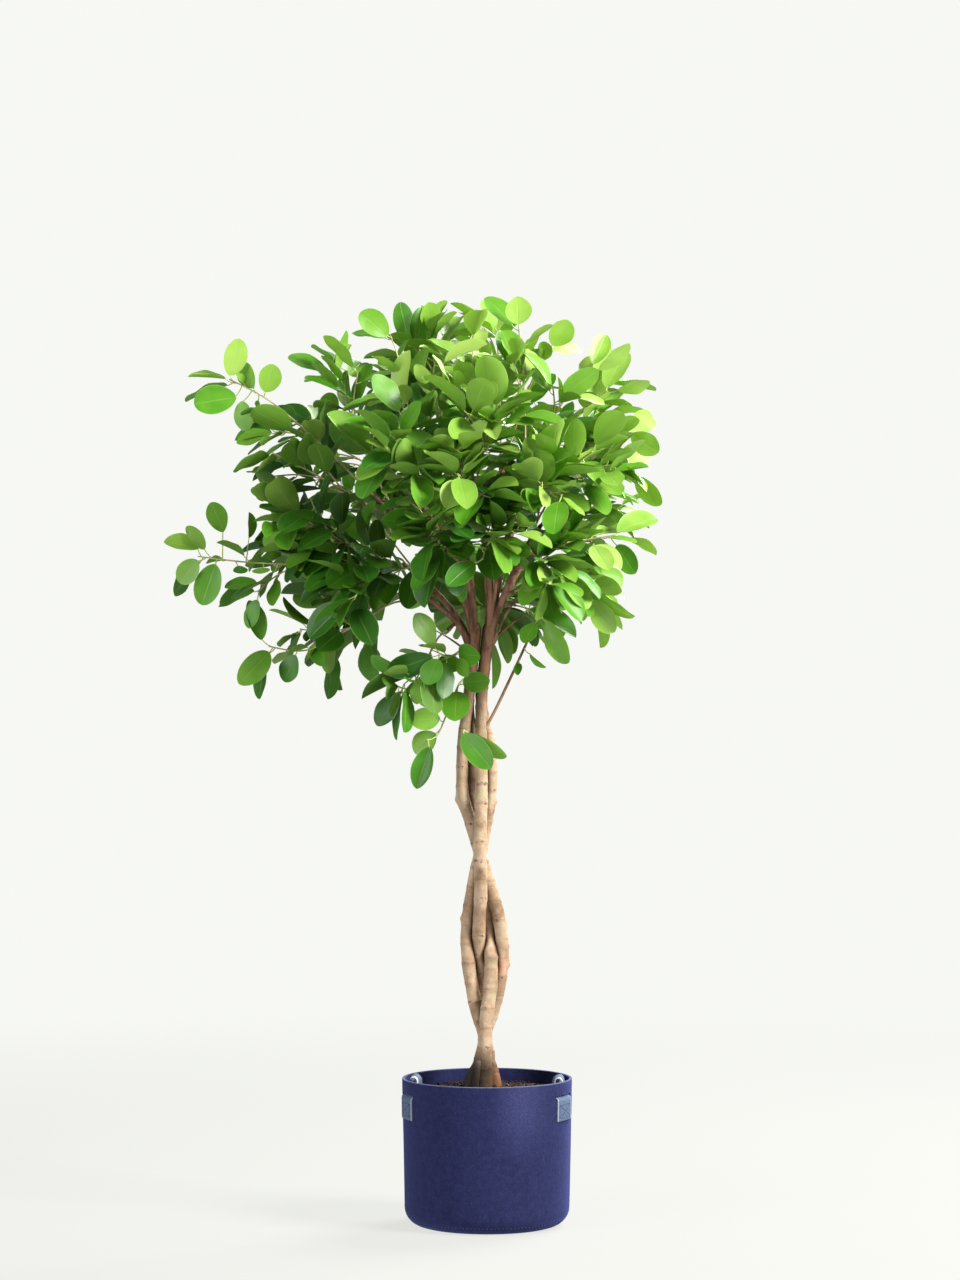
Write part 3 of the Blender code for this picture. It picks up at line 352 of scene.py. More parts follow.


# %% [markdown]
# Each leafy branch starts on a limb or a stem and reaches to a tip. The tips were chosen so
# that the crown has the real one's outline: two long sprays on the left, one over the other, a
# rounded top, and a looser right side. The branches of the back follow the same habit.

# %% Where each leafy branch starts and ends
# The limb or stem, how far up it (a share of a limb, a height in mm on a stem), the tip and the sag
BRANCHES = (
    ("left_low", 0.95, (-405, -45, 942), 18),
    ("left_low", 0.70, (-307, -25, 816), -14),
    ("left_low", 0.85, (-300, -75, 1012), 10),
    ("left_low", 0.35, (-125, -60, 760), -20),
    ("left_high", 0.95, (-362, -35, 1191), 16),
    ("left_high", 0.80, (-300, -80, 1086), 10),
    ("left_high", 0.90, (-225, 0, 1195), 12),
    ("left_high", 0.50, (-205, -105, 912), 6),
    ("left_front", 0.85, (-125, -180, 1100), 12),
    ("left_front", 0.95, (-135, -80, 1250), 8),
    ("left_front", 0.97, (-72, -130, 1208), 10),
    ("left_front", 0.62, (-78, -185, 968), 10),
    ("stem_right", 812, (-66, -100, 806), -8),
    ("middle_front", 0.85, (-40, -215, 1050), 16),
    ("middle_front", 0.95, (20, -175, 1140), 12),
    ("middle_front", 0.97, (-20, -95, 1250), 8),
    ("middle_front", 0.58, (8, -178, 972), 12),
    ("right_low", 0.88, (75, -185, 1040), 14),
    ("right_low", 0.60, (100, -140, 930), 10),
    ("right_low", 0.79, (145, -125, 1085), 10),
    ("right_low", 0.97, (198, -35, 1120), 10),
    ("right_low", 0.69, (180, -45, 972), 10),
    ("right_low", 0.45, (146, -70, 893), 6),
    ("right_high", 0.95, (44, -60, 1262), 8),
    ("right_high", 0.90, (150, -55, 1205), 10),
    ("stem_back", 690, (80, -42, 872), 6),
    ("stem_back", 684, (-33, -56, 700), -4),
    ("stem_right", 780, (-84, -66, 686), -10),
    ("back_left_low", 0.95, (-305, 50, 972), 12),
    ("back_left_low", 0.80, (-215, 140, 1050), 12),
    ("back_left_low", 0.60, (-235, 25, 885), 4),
    ("back_left_high", 0.95, (-285, 55, 1130), 10),
    ("back_left_high", 0.75, (-140, 175, 1040), 12),
    ("back_left_high", 0.90, (-110, 150, 1185), 10),
    ("back_left_middle", 0.97, (-84, 30, 1266), 8),
    ("back_left_middle", 0.85, (-60, 200, 1080), 14),
    ("back_left_middle", 0.50, (-70, 180, 930), 10),
    ("back_left_middle", 0.93, (-4, 120, 1228), 8),
    ("back_right_low", 0.80, (138, 25, 918), 8),
    ("back_right_low", 0.90, (148, 110, 978), 10),
    ("back_right_low", 0.45, (76, 115, 876), -4),
    ("back_right_low", 0.97, (205, 30, 1060), 10),
    ("back_right_high", 0.95, (172, 40, 1180), 10),
    ("back_right_high", 0.85, (160, 120, 1080), 10),
    ("back_right_high", 0.75, (95, 180, 1100), 12),
    ("back_right_low", 0.30, (12, 140, 892), -4),
    ("back_right_middle", 0.97, (14, 40, 1266), 6),
    ("back_right_middle", 0.90, (90, 20, 1240), 8),
)
TWIG_BASE_RADIUS = 2.6 * MM
TWIG_TIP_RADIUS = 1.5 * MM
TWIG_POINTS = 5
STUB_LENGTH = 13.0 * MM
TWIG_CLEARANCE = 1.0 * MM
TWIG_TRIES = 60
TWIG_BEND_STRAY = 0.8 * MM
SHOOT_START = 0.42
SHOOT_LENGTH = (48.0 * MM, 80.0 * MM)
SHOOT_THICKER = 1.15
BARE_BRANCHES = (26, 27, 28)

# %% [markdown]
# Every leaf is a little different, so its sizes and the way it lies are drawn at random between
# two ends. One number, the seed, settles all the draws, so that the same plant grows each time.

# %% Sizes of the leaves
LEAF_LENGTH = (54.0 * MM, 78.0 * MM)
LEAF_SLIMNESS = (0.52, 0.62)
LEAF_STALK = (8.0 * MM, 15.0 * MM)
LEAF_THICKNESS = 1.2 * MM
LEAF_CLEARANCE = 0.7 * MM
LEAF_APART = 4.0 * MM
LEAF_TRIES = 40
LEAF_OPENING = (38.0, 72.0)
LEAF_TURN_STRAY = 0.4
LEAF_DROOP = (0.0, 0.3)
LEAF_ARCH = (0.03, 0.14)
LEAF_OUTLINE = ((0.0, 0.06), (0.34, 0.82), (0.74, 0.96))
STALK_RADIUS = 0.65 * MM
CROWN_MIDDLE = Vector((-50.0, 0.0, 1010.0)) * MM
GOLDEN_ANGLE = math.radians(137.5)
GROWTH_SEED = 7

# How much a leaf's face looks outwards, up, to the front and at random
LEAF_LIE = (0.55, 0.65, 0.12, 0.55)

# %% [markdown]
# Most leaves follow the growing rule, but the ones that stand out against the light give the
# crown its character, so those are placed one by one: base, tip, width and turn.

# %% Leaves that stand out
MARKED_TRIES = 24
MARKED_STEP = 3.0 * MM
MARKED_ARCH = 0.06
ROOT_SPOTS = 60

# The branch's number, the leaf's base and tip, its width, and its turn from the front, in degrees
MARKED_LEAVES = (
    (1, (-404, -45, 953), (-452, -50, 964), 30, 40),
    (1, (-406, -44, 937), (-432, -40, 905), 32, 10),
    (1, (-377, -44, 938), (-401, -40, 874), 38, 5),
    (1, (-370, -41, 976), (-386, -46, 1018), 30, 15),
    (1, (-350, -38, 957), (-343, -34, 918), 28, 45),
    (1, (-311, -40, 972), (-317, -50, 918), 30, 35),
    (2, (-317, -25, 825), (-334, -28, 881), 28, 20),
    (2, (-310, -25, 806), (-324, -20, 742), 32, 50),
    (2, (-264, -24, 818), (-286, -20, 766), 32, 25),
    (2, (-210, -40, 872), (-236, -48, 812), 40, 10),
    (5, (-361, -36, 1196), (-346, -42, 1247), 34, 20),
    (5, (-367, -35, 1192), (-419, -40, 1197), 36, 78),
    (5, (-352, -36, 1166), (-410, -48, 1156), 42, 8),
    (5, (-322, -34, 1150), (-299, -44, 1211), 36, 30),
    (5, (-318, -36, 1127), (-352, -46, 1104), 32, 45),
    (7, (-228, -2, 1206), (-280, -10, 1226), 38, 55),
    (7, (-221, 0, 1206), (-196, 4, 1262), 24, 60),
    (28, (-66, -58, 716), (-108, -70, 713), 32, 5),
    (28, (-62, -58, 700), (-102, -70, 667), 34, 20),
    (28, (-80, -68, 676), (-99, -74, 618), 30, 10),
    (28, (-36, -52, 772), (2, -66, 769), 30, 5),
    (28, (-40, -54, 772), (-45, -72, 714), 41, 8),
    (27, (-34, -60, 694), (5, -78, 647), 35, 5),
    (27, (-36, -56, 709), (26, -62, 660), 25, 35),
    (4, (-124, -62, 752), (-154, -70, 706), 32, 20),
    (4, (-118, -66, 748), (-129, -74, 686), 30, 70),
    (4, (-100, -60, 768), (-58, -78, 752), 32, 10),
    (10, (-138, -84, 1248), (-176, -90, 1280), 36, 15),
    (35, (-106, 20, 1254), (-82, 8, 1302), 34, 35),
    (35, (-86, 30, 1272), (-58, 24, 1308), 34, 70),
    (47, (22, 36, 1262), (-6, 22, 1307), 30, 40),
    (24, (43, -62, 1258), (42, -76, 1303), 38, 10),
    (48, (84, 18, 1244), (116, 4, 1276), 36, 20),
    (25, (156, -58, 1202), (200, -72, 1236), 34, 55),
    (43, (186, 38, 1180), (232, 30, 1190), 34, 60),
    (21, (204, -38, 1124), (240, -46, 1088), 34, 20),
    (42, (212, 28, 1056), (246, 20, 1016), 30, 30),
    (22, (196, -46, 966), (238, -44, 946), 30, 65),
    (22, (182, -48, 958), (206, -64, 918), 30, 10),
    (23, (156, -70, 894), (204, -80, 856), 24, 55),
    (23, (148, -72, 880), (176, -88, 836), 34, 20),
    (26, (84, -42, 852), (112, -52, 792), 32, 25),
    (26, (72, -44, 856), (50, -48, 822), 26, 30),
    (26, (86, -44, 880), (116, -52, 904), 32, 35),
    (13, (-24, -70, 826), (-58, -92, 782), 34, 12),
    (13, (-70, -104, 812), (-84, -112, 764), 34, 25),
    (13, (-74, -104, 818), (-98, -112, 862), 34, 30),
)


# %% [markdown]
# The braid's middles are joined by a smooth curve through the table's levels, and pushed apart
# where two stems would press into each other.

# %% Lines of the four stems
def spread(middles, apart):
    """Push points that are too close to each other apart."""
    for _ in range(SPREAD_ROUNDS):
        for one in range(len(middles)):
            for other in range(one):
                between = middles[one] - middles[other]
                short = apart - between.length
                if short > 0.0:
                    between.normalize()
                    middles[one] += between * (0.5 * short)
                    middles[other] -= between * (0.5 * short)
    return middles


def held(value):
    """Hold a value between 0 and 1."""
    return max(0.0, min(1.0, value))


def smooth_between(a, b, c, d, share):
    """Give a point between b and c, on a smooth curve that also passes a and d."""
    bend = b * 2.0 + (c - a) * share + (a * 2.0 - b * 5.0 + c * 4.0 - d) * share ** 2
    return (bend + (b * 3.0 - a - c * 3.0 + d) * share ** 3) * 0.5


def stem_radius(height):
    """Give a stem's radius at a height, with its root swelling."""
    if height <= ROOT_FLARE_TOP:
        return ROOT_RADIUS
    top = STEM_LEVELS[-1][0] * MM
    share = (height - ROOT_FLARE_TOP) / (top - ROOT_FLARE_TOP)
    plain = STEM_RADIUS + (STEM_TOP_RADIUS - STEM_RADIUS) * share
    swell = max(0.0, 1.0 - (height - ROOT_FLARE_TOP) / ROOT_FLARE_LENGTH)
    return plain + (ROOT_RADIUS - plain) * swell * swell


def level_at(height):
    """Give the four stems' middles at a height, smoothly between the table's rows."""
    rows = [row[0] * MM for row in STEM_LEVELS]
    index = 0
    while index < len(rows) - 2 and rows[index + 1] < height:
        index += 1
    share = held((height - rows[index]) / (rows[index + 1] - rows[index]))
    near = [max(0, index - 1), index, index + 1, min(len(rows) - 1, index + 2)]
    middles = []
    for stem in range(len(STEM_NAMES)):
        points = (Vector(STEM_LEVELS[row][stem + 1]) * MM for row in near)
        middles.append(smooth_between(*points, share))
    return spread(middles, 2.0 * stem_radius(height) + STEM_APART)


def stem_lines():
    """Give each stem's points and radii from its root to its fork."""
    top = STEM_LEVELS[-1][0] * MM
    heights = [ROOT_END, ROOT_FLARE_TOP]
    count = round((top - ROOT_FLARE_TOP) / STEM_STEP)
    heights += [ROOT_FLARE_TOP + (top - ROOT_FLARE_TOP) * i / count for i in range(1, count + 1)]
    lines = {name: ([], []) for name in STEM_NAMES}
    for height in heights:
        for name, middle in zip(STEM_NAMES, level_at(height)):
            lines[name][0].append(Vector((middle.x, middle.y, height)))
            lines[name][1].append(stem_radius(height))
    return lines


# %% [markdown]
# To keep growth clear of growth, each twig and leaf has a coarse closed shell, and a search tree
# tells whether two shells touch. A ball round each shell rules out most pairs at once.

# %% Shells, and the space they take
SHELL_SIDES = 6
SHELL_SWELL = 1.12


def shell_of_tube(points, radii, extra):
    """Give a closed six-sided shell round a tube, for telling whether things are clear."""
    vertices = []
    for index, point in enumerate(points):
        before = points[max(0, index - 1)]
        after = points[min(len(points) - 1, index + 1)]
        along = (after - before).normalized()
        side = along.cross(FRONT if abs(along.y) < 0.9 else UP).normalized()
        other = along.cross(side)
        reach = radii[index] * SHELL_SWELL + extra
        for step in range(SHELL_SIDES):
            turn = math.tau * step / SHELL_SIDES
            vertices.append(point + (side * math.cos(turn) + other * math.sin(turn)) * reach)
    faces = []
    for ring in range(len(points) - 1):
        for step in range(SHELL_SIDES):
            a = ring * SHELL_SIDES + step
            b = ring * SHELL_SIDES + (step + 1) % SHELL_SIDES
            faces.append((a, b, b + SHELL_SIDES, a + SHELL_SIDES))
    faces.append(tuple(range(SHELL_SIDES)))
    faces.append(tuple(range(len(vertices) - SHELL_SIDES, len(vertices))))
    return vertices, faces


def leaf_point(leaf, along):
    """Give a point on a leaf's midrib, which arches down to its tip."""
    sag = leaf["normal"] * (leaf["arch"] * leaf["length"] * along * along)
    return leaf["base"] + leaf["axis"] * (leaf["length"] * along) - sag


def leaf_sections(leaf, extra):
    """Give a leaf's three-cornered cross-sections, from its root to before its tip."""
    side = leaf["axis"].cross(leaf["normal"])
    sections = []
    stalk = (leaf["base"] - leaf["root"]).normalized()
    stalk_side = stalk.cross(leaf["normal"]).normalized()
    if stalk_side.dot(side) < 0.0:
        stalk_side.negate()
    radius = STALK_RADIUS + extra
    below = stalk.cross(stalk_side).normalized() * radius
    if below.dot(leaf["normal"]) > 0.0:
        below.negate()
    root = leaf["root"]
    sections.append((root - stalk_side * radius - below * 0.5, root + below,
                     root + stalk_side * radius - below * 0.5))
    for along, share in LEAF_OUTLINE:
        middle = leaf_point(leaf, along) + leaf["normal"] * extra
        half = 0.5 * leaf["width"] * share + extra
        keel = leaf["normal"] * (LEAF_THICKNESS + 2.0 * extra)
        sections.append((middle - side * half, middle - keel, middle + side * half))
    return sections


def leaf_solid(leaf, extra, first=0):
    """Give the vertices and triangles of a closed leaf."""
    sections = leaf_sections(leaf, extra)[first:]
    vertices = [point for section in sections for point in section]
    tip = len(vertices)
    lean = leaf["normal"] * (0.5 * LEAF_THICKNESS)
    vertices.append(leaf_point(leaf, 1.0) - lean + leaf["axis"] * extra)
    faces = [(0, 2, 1)]
    for ring in range(len(sections) - 1):
        left, keel, right = (3 * ring + corner for corner in range(3))
        faces += [(left, keel, keel + 3), (left, keel + 3, left + 3)]
        faces += [(right, keel + 3, keel), (right, right + 3, keel + 3)]
        faces += [(left, right + 3, right), (left, left + 3, right + 3)]
    left, keel, right = tip - 3, tip - 2, tip - 1
    faces += [(left, keel, tip), (keel, right, tip), (right, left, tip)]
    return vertices, faces


class Space:
    """What is already grown, so that new growth keeps clear of it."""

    def __init__(self):
        self.shapes = []

    def add(self, owner, vertices, faces):
        """Keep a shape of an owner."""
        self.shapes.append((owner, *self.ball(vertices), BVHTree.FromPolygons(vertices, faces)))

    def ball(self, vertices):
        """Give a ball round some vertices."""
        middle = sum(vertices, Vector()) / len(vertices)
        return middle, max((vertex - middle).length for vertex in vertices)

    def is_clear(self, vertices, faces, ignored=(), only=None):
        """Tell whether a shape touches nothing kept, apart from the ignored owners."""
        middle, reach = self.ball(vertices)
        tree = None
        for owner, other, span, shape in self.shapes:
            if owner in ignored or (only is not None and owner != only):
                continue
            if (other - middle).length > reach + span:
                continue
            if tree is None:
                tree = BVHTree.FromPolygons(vertices, faces)
            if tree.overlap(shape):
                return False
        return True


# %% [markdown]
# Limbs and twigs are cubic curves: they leave along what they grow from, and arrive a little
# hanging. Where one would run into another, it is tried again with a small random change.

# %% Limbs and twigs
def bezier(start, leave, arrive, end, share):
    """Give a point on a cubic curve."""
    rest = 1.0 - share
    first = start * rest ** 3 + leave * (3.0 * rest * rest * share)
    return first + arrive * (3.0 * rest * share * share) + end * share ** 3


def along_line(points, share):
    """Give the point and direction at a share of a line's length."""
    lengths = [(b - a).length for a, b in zip(points, points[1:])]
    left = share * sum(lengths)
    for index, length in enumerate(lengths):
        if left <= length or index == len(lengths) - 1:
            way = points[index + 1] - points[index]
            return points[index] + way * min(1.0, left / length), way.normalized()
        left -= length
    return points[-1], (points[-1] - points[-2]).normalized()


def along_stem(points, height):
    """Give the point and direction of a stem at a height in mm."""
    return along_line(points, (height * MM - ROOT_END) / (points[-1].z - ROOT_END))


def random_way(rng):
    """Give a random direction."""
    return Vector((rng.gauss(0, 1), rng.gauss(0, 1), rng.gauss(0, 1))).normalized()


def grow_line(start, way, tip, sag, count, rng, spread_by):
    """Give a curved line from a start to a tip."""
    reach = (tip - start).length
    leave = start + way * (0.3 * reach) + random_way(rng) * spread_by
    lean = Vector((tip.x - start.x, tip.y - start.y, 0.0)) * 0.3
    arrive = tip - lean + UP * (sag * MM - 0.12 * reach) + random_way(rng) * spread_by
    return [bezier(start, leave, arrive, tip, i / (count - 1)) for i in range(count)]


def taper(first, last, count):
    """Give evenly falling radii."""
    return [first + (last - first) * i / (count - 1) for i in range(count)]


def grow_limbs(stems, space):
    """Give the limbs as lines with radii, each fused to its stem."""
    limbs = {}
    for name, (stem, height, end) in LIMBS.items():
        start, way = along_stem(stems[stem][0], height)
        start = start - way * LIMB_SINK
        rng = random.Random(name)
        for attempt in range(TWIG_TRIES):
            tip = Vector(end) * MM + random_way(rng) * (attempt * LIMB_TIP_STRAY)
            line = grow_line(start, way, tip, 0.0, LIMB_POINTS, rng, attempt * LIMB_BEND_STRAY)
            radii = taper(LIMB_BASE_RADIUS, LIMB_TIP_RADIUS, LIMB_POINTS)
            shell = shell_of_tube(line, radii, TWIG_CLEARANCE)
            if space.is_clear(*shell, ignored=(stem,)):
                break
        else:
            print("limb not clear:", name)
        space.add(stem, *shell_of_tube(line, radii, 0.0))
        limbs[name] = {"stem": stem, "line": line, "radii": radii}
    return limbs


def split_line(line, radii):
    """Part a line in a straight stretch near its start, leaving a thin gap."""
    index = 0
    length = 0.0
    while length + 0.5 * (line[index + 1] - line[index]).length < STUB_LENGTH:
        length += (line[index + 1] - line[index]).length
        index += 1
    middle = (line[index] + line[index + 1]) * 0.5
    way = (line[index + 1] - line[index]).normalized() * (0.5 * TOUCH_GAP)
    radius = 0.5 * (radii[index] + radii[index + 1])
    stub = (line[:index + 1] + [middle - way], radii[:index + 1] + [radius])
    rest = ([middle + way] + line[index + 1:], [radius] + radii[index + 1:])
    return stub, rest


def grow_branch(number, stems, limbs, space):
    """Grow one branch: its stub on the limb, its twig, and one side shoot."""
    home, place, tip, sag = BRANCHES[number - 1]
    name = f"branch_{number:02d}"
    if home in limbs:
        stem = limbs[home]["stem"]
        start, way = along_line(limbs[home]["line"], place)
    else:
        stem = home
        start, way = along_stem(stems[stem][0], place)
    rng = random.Random(GROWTH_SEED * 1000 + number)
    end = Vector(tip) * MM
    way = (way + (end - start).normalized() * 1.2).normalized()
    radii = taper(TWIG_BASE_RADIUS, TWIG_TIP_RADIUS, TWIG_POINTS)
    for attempt in range(TWIG_TRIES):
        line = grow_line(start, way, end, sag, TWIG_POINTS, rng, attempt * TWIG_BEND_STRAY)
        stub, twig = split_line(line, radii)
        stub_clear = space.is_clear(*shell_of_tube(*stub, TWIG_CLEARANCE), ignored=(stem,))
        if stub_clear and space.is_clear(*shell_of_tube(*twig, TWIG_CLEARANCE)):
            break
    else:
        print("branch not clear:", name)
    space.add(stem, *shell_of_tube(*stub, 0.0))
    space.add(name, *shell_of_tube(*twig, 0.0))
    branch = {"name": name, "stem": stem, "stub": stub, "twigs": [twig], "leaves": []}
    shoot = None if number in BARE_BRANCHES else grow_shoot(branch, SHOOT_START, rng, space)
    if shoot:
        branch["twigs"].append(shoot)
    return branch


def grow_shoot(branch, share, rng, space):
    """Give a short side shoot from a branch's main twig, or None where nothing is clear."""
    start, way = along_line(branch["twigs"][0][0], share)
    outward = (start - CROWN_MIDDLE).normalized()
    for _ in range(TWIG_TRIES):
        length = rng.uniform(*SHOOT_LENGTH)
        side = way.cross(random_way(rng)).normalized()
        aim = (way * 0.75 + side * 0.8 + outward * 0.45 + UP * 0.15).normalized()
        tip = start + aim * length
        line = [start, start + (aim + way * 0.35).normalized() * (0.5 * length), tip]
        thick = TWIG_TIP_RADIUS * SHOOT_THICKER
        shoot = (line, [thick, thick, TWIG_TIP_RADIUS])
        if space.is_clear(*shell_of_tube(*shoot, TWIG_CLEARANCE), ignored=(branch["name"],)):
            space.add(branch["name"], *shell_of_tube(*shoot, 0.0))
            return shoot
    return None


# %% [markdown]
# Leaves stand alternately round a twig, each turned from the last by the golden angle, open to the
# light and facing out of the crown. A leaf is one record: its root on the twig, the base and
# direction of its blade, the way its face looks, its length, width and arch.

# %% Leaves of the frame
def nearest_on_twigs(branch, point):
    """Give the closest point on a branch's twigs that no leaf grows from yet."""
    spots = []
    for points, _ in branch["twigs"]:
        shares = (0.1 + 0.88 * step / ROOT_SPOTS for step in range(ROOT_SPOTS + 1))
        spots += [along_line(points, share)[0] for share in shares]
    roots = [leaf["root"] for leaf in branch["leaves"]]
    free = [s for s in spots if all((s - root).length > LEAF_APART for root in roots)]
    return min(free, key=lambda spot: (spot - point).length)


def leaf_fits(leaf, branch, space):
    """Tell whether a leaf is clear of other growth, and its blade of its own branch."""
    whole = leaf_solid(leaf, LEAF_CLEARANCE)
    if not space.is_clear(*whole, ignored=(branch["name"], branch["name"] + "_stalks")):
        return False
    blade = leaf_solid(leaf, LEAF_CLEARANCE, first=1)
    return space.is_clear(*blade, only=branch["name"])


def keep_leaf(leaf, branch, space):
    """Add a leaf to its branch."""
    branch["leaves"].append(leaf)
    space.add(branch["name"], *leaf_solid(leaf, 0.0, first=1))
    stalk = [leaf["root"], leaf["base"]]
    space.add(branch["name"] + "_stalks", *shell_of_tube(stalk, [STALK_RADIUS] * 2, 0.0))


def grow_marked_leaf(branch, base, tip, width, roll, space):
    """Place a leaf from its base to its tip, moved in depth until it is clear."""
    for step in range(MARKED_TRIES):
        shift = Vector((0.0, (0.5 * step if step % 2 else -0.5 * step) * MARKED_STEP, 0.0))
        start = Vector(base) * MM
        end = Vector(tip) * MM + shift
        root = nearest_on_twigs(branch, start)
        if (start - root).normalized().dot((end - start).normalized()) < 0.5:
            start = root + (end - root).normalized() * LEAF_STALK[0]
        axis = (end - start).normalized()
        normal = (FRONT - axis * FRONT.dot(axis)).normalized()
        normal.rotate(Matrix.Rotation(math.radians(roll), 3, axis))
        if normal.z < 0.0 and roll > 60:
            normal.negate()
        leaf = {"root": root, "base": start, "axis": axis, "normal": normal,
                "length": (end - start).length, "width": width * MM, "arch": MARKED_ARCH}
        if leaf_fits(leaf, branch, space):
            keep_leaf(leaf, branch, space)
            return
    print("marked leaf left out:", branch["name"], tip)


def grow_leaf(branch, spot, way, turn, size, rng, space, lie=LEAF_LIE):
    """Place a leaf beside a twig by the growing rule, or leave it out where nothing is clear."""
    across = way.cross(UP if abs(way.z) < 0.9 else FRONT).normalized()
    outward = (spot - CROWN_MIDDLE).normalized()
    for attempt in range(LEAF_TRIES):
        stray = rng.uniform(-LEAF_TURN_STRAY, LEAF_TURN_STRAY)
        radial = Matrix.Rotation(turn + stray * (1.0 + 0.2 * attempt), 3, way) @ across
        open_angle = math.radians(rng.uniform(*LEAF_OPENING))
        axis = way * math.cos(open_angle) + radial * math.sin(open_angle)
        axis = (axis + outward * 0.3 - UP * rng.uniform(*LEAF_DROOP)).normalized()
        wish = outward * lie[0] + UP * lie[1] + FRONT * lie[2] + random_way(rng) * lie[3]
        normal = (wish - axis * wish.dot(axis)).normalized()
        length = rng.uniform(*LEAF_LENGTH) * size
        stalk = rng.uniform(*LEAF_STALK)
        leaf = {"root": spot, "base": spot + (axis + radial * 0.3).normalized() * stalk,
                "axis": axis, "normal": normal, "length": length,
                "width": length * rng.uniform(*LEAF_SLIMNESS), "arch": rng.uniform(*LEAF_ARCH)}
        if leaf_fits(leaf, branch, space):
            keep_leaf(leaf, branch, space)
            return


def leaf_spots(first, count):
    """Give evenly spaced shares along a twig, the last at its tip."""
    return [first + (0.97 - first) * i / max(1, count - 1) for i in range(count)]


def grow_leaves(branch, number, space):
    """Grow a branch's leaves along its twigs, alternating round them."""
    rng = random.Random(GROWTH_SEED * 2000 + number)
    marked = [row for row in MARKED_LEAVES if row[0] == number]
    turn = rng.uniform(0.0, math.tau)
    if number in BARE_BRANCHES:
        return
    plans = [(0, 0.34, 2 if marked else 4)]
    plans += [(index, 0.55, 2) for index in range(1, len(branch["twigs"]))]
    for index, first, count in plans:
        for share in leaf_spots(first, count):
            spot, way = along_line(branch["twigs"][index][0], share)
            grow_leaf(branch, spot, way, turn, 1.08 - 0.2 * share, rng, space)
            turn += GOLDEN_ANGLE


def grow_plant(space):
    """Grow the stems, limbs, branches and leaves, each clear of what grew before it."""
    stems = stem_lines()
    for name, (points, radii) in stems.items():
        space.add(name, *shell_of_tube(points, radii, 0.0))
    limbs = grow_limbs(stems, space)
    numbers = range(1, len(BRANCHES) + 1)
    branches = [grow_branch(number, stems, limbs, space) for number in numbers]
    for number, base, tip, width, roll in MARKED_LEAVES:
        grow_marked_leaf(branches[number - 1], base, tip, width, roll, space)
    for number, branch in zip(numbers, branches):
        grow_leaves(branch, number, space)
    return stems, limbs, branches


# %% [markdown]
# The frame holds about a quarter of the plant's leaves, which is enough for its form and its
# weight. A real crown is fuller: short side shoots fill the inside, each with a few leaves, the
# outer branches carry more and smaller leaves, and thin limbs fan out at the fork. They are grown
# here by the same rule, with draws of their own, and only where there is room for them.

# %% Side shoots and leaves that fill the crown
EXTRA_SEED = 40
EXTRA_SHOOTS = (0.26, 0.58, 0.76)
EXTRA_LEAF_SHARES = (0.22, 0.45, 0.6, 0.72, 0.84, 0.93)
EXTRA_SIZE = 0.94
EXTRA_SPREAD = (0.8, 1.08)
SHOOT_LEAF_SHARES = (0.5, 0.78, 0.98)
EXTRA_LIE = (0.32, 0.95, 0.05, 0.55)
LOOSE_BRANCHES = (1, 2, 4, 5, 10, 11, 13, 16, 21, 22, 23, 24, 25, 38, 39, 40, 41, 42, 43, 48)
LOOSE_LEAF_SHARES = (0.38, 0.55, 0.7, 0.84)
LOOSE_SIZE = 0.72
CROWN_MARGIN = 6.0 * MM
DENSE_BRANCHES = (3, 8, 9, 12, 14, 15, 17, 18, 19, 31, 33, 34, 35, 36, 37, 38, 43, 45, 46)
DENSE_SHOOTS = (0.12, 0.34, 0.5, 0.66)
DENSE_LEAF_SHARES = (0.12, 0.3, 0.52, 0.78)
DENSE_SIZE = 0.96
FORK_FRONT = -15.0 * MM
FORK_WINDOWS = (
    ((-55.0 * MM, 50.0 * MM), (792.0 * MM, 892.0 * MM)),
    ((-32.0 * MM, 40.0 * MM), (892.0 * MM, 945.0 * MM)),
)
THIN_TIP_SHARE = 0.3
THIN_TIP_STRAY = 0.6 * MM
THIN_BEND_STRAY = 0.5 * MM

# The stem, the height in mm, the end, and the radius at the fork
THIN_LIMBS = (
    ("stem_back", 812, (47, -42, 935), 4.6),
    ("stem_back", 775, (42, -30, 884), 3.2),
    ("stem_left", 800, (56, -10, 862), 2.6),
    ("stem_left", 830, (-4, -30, 925), 3.6),
    ("stem_right", 800, (-104, -40, 898), 4.0),
    ("stem_right", 815, (-58, -50, 950), 4.0),
    ("stem_front", 825, (-28, -20, 940), 3.6),
    ("stem_front", 790, (-72, 10, 838), 2.4),
    ("stem_front", 770, (-80, -20, 812), 2.0),
    ("stem_left", 820, (30, 20, 940), 3.4),
    ("stem_back", 830, (20, -60, 950), 3.4),
)

# The branch's number, the leaf's base and tip, its width, and its turn, as in the frame's table
SMALL_LEAVES = (
    (26, (41, -34, 798), (43, -36, 776), 13, 20),
    (26, (60, -38, 806), (82, -44, 786), 12, 50),
    (5, (-306, -34, 1180), (-322, -30, 1148), 20, 60),
    (5, (-336, -36, 1178), (-348, -34, 1200), 20, 55),
    (5, (-344, -38, 1160), (-338, -40, 1118), 30, 25),
    (1, (-334, -40, 968), (-332, -44, 1004), 22, 60),
    (1, (-396, -44, 952), (-420, -46, 985), 22, 30),
)


# %% Growing the extras
def inside_crown(leaf):
    """Tell whether a leaf stays inside the box of the frame."""
    tip = leaf_point(leaf, 1.0)
    low, high = CAD_BOX
    return all(low[i] - CROWN_MARGIN < tip[i] < high[i] + CROWN_MARGIN for i in range(3))


def hides_fork(leaf):
    """Tell whether a leaf hangs in front of the fork, where the limbs show."""
    middle = leaf_point(leaf, 0.5)
    if middle.y > FORK_FRONT:
        return False
    return any(left < middle.x < right and low < middle.z < high
               for (left, right), (low, high) in FORK_WINDOWS)


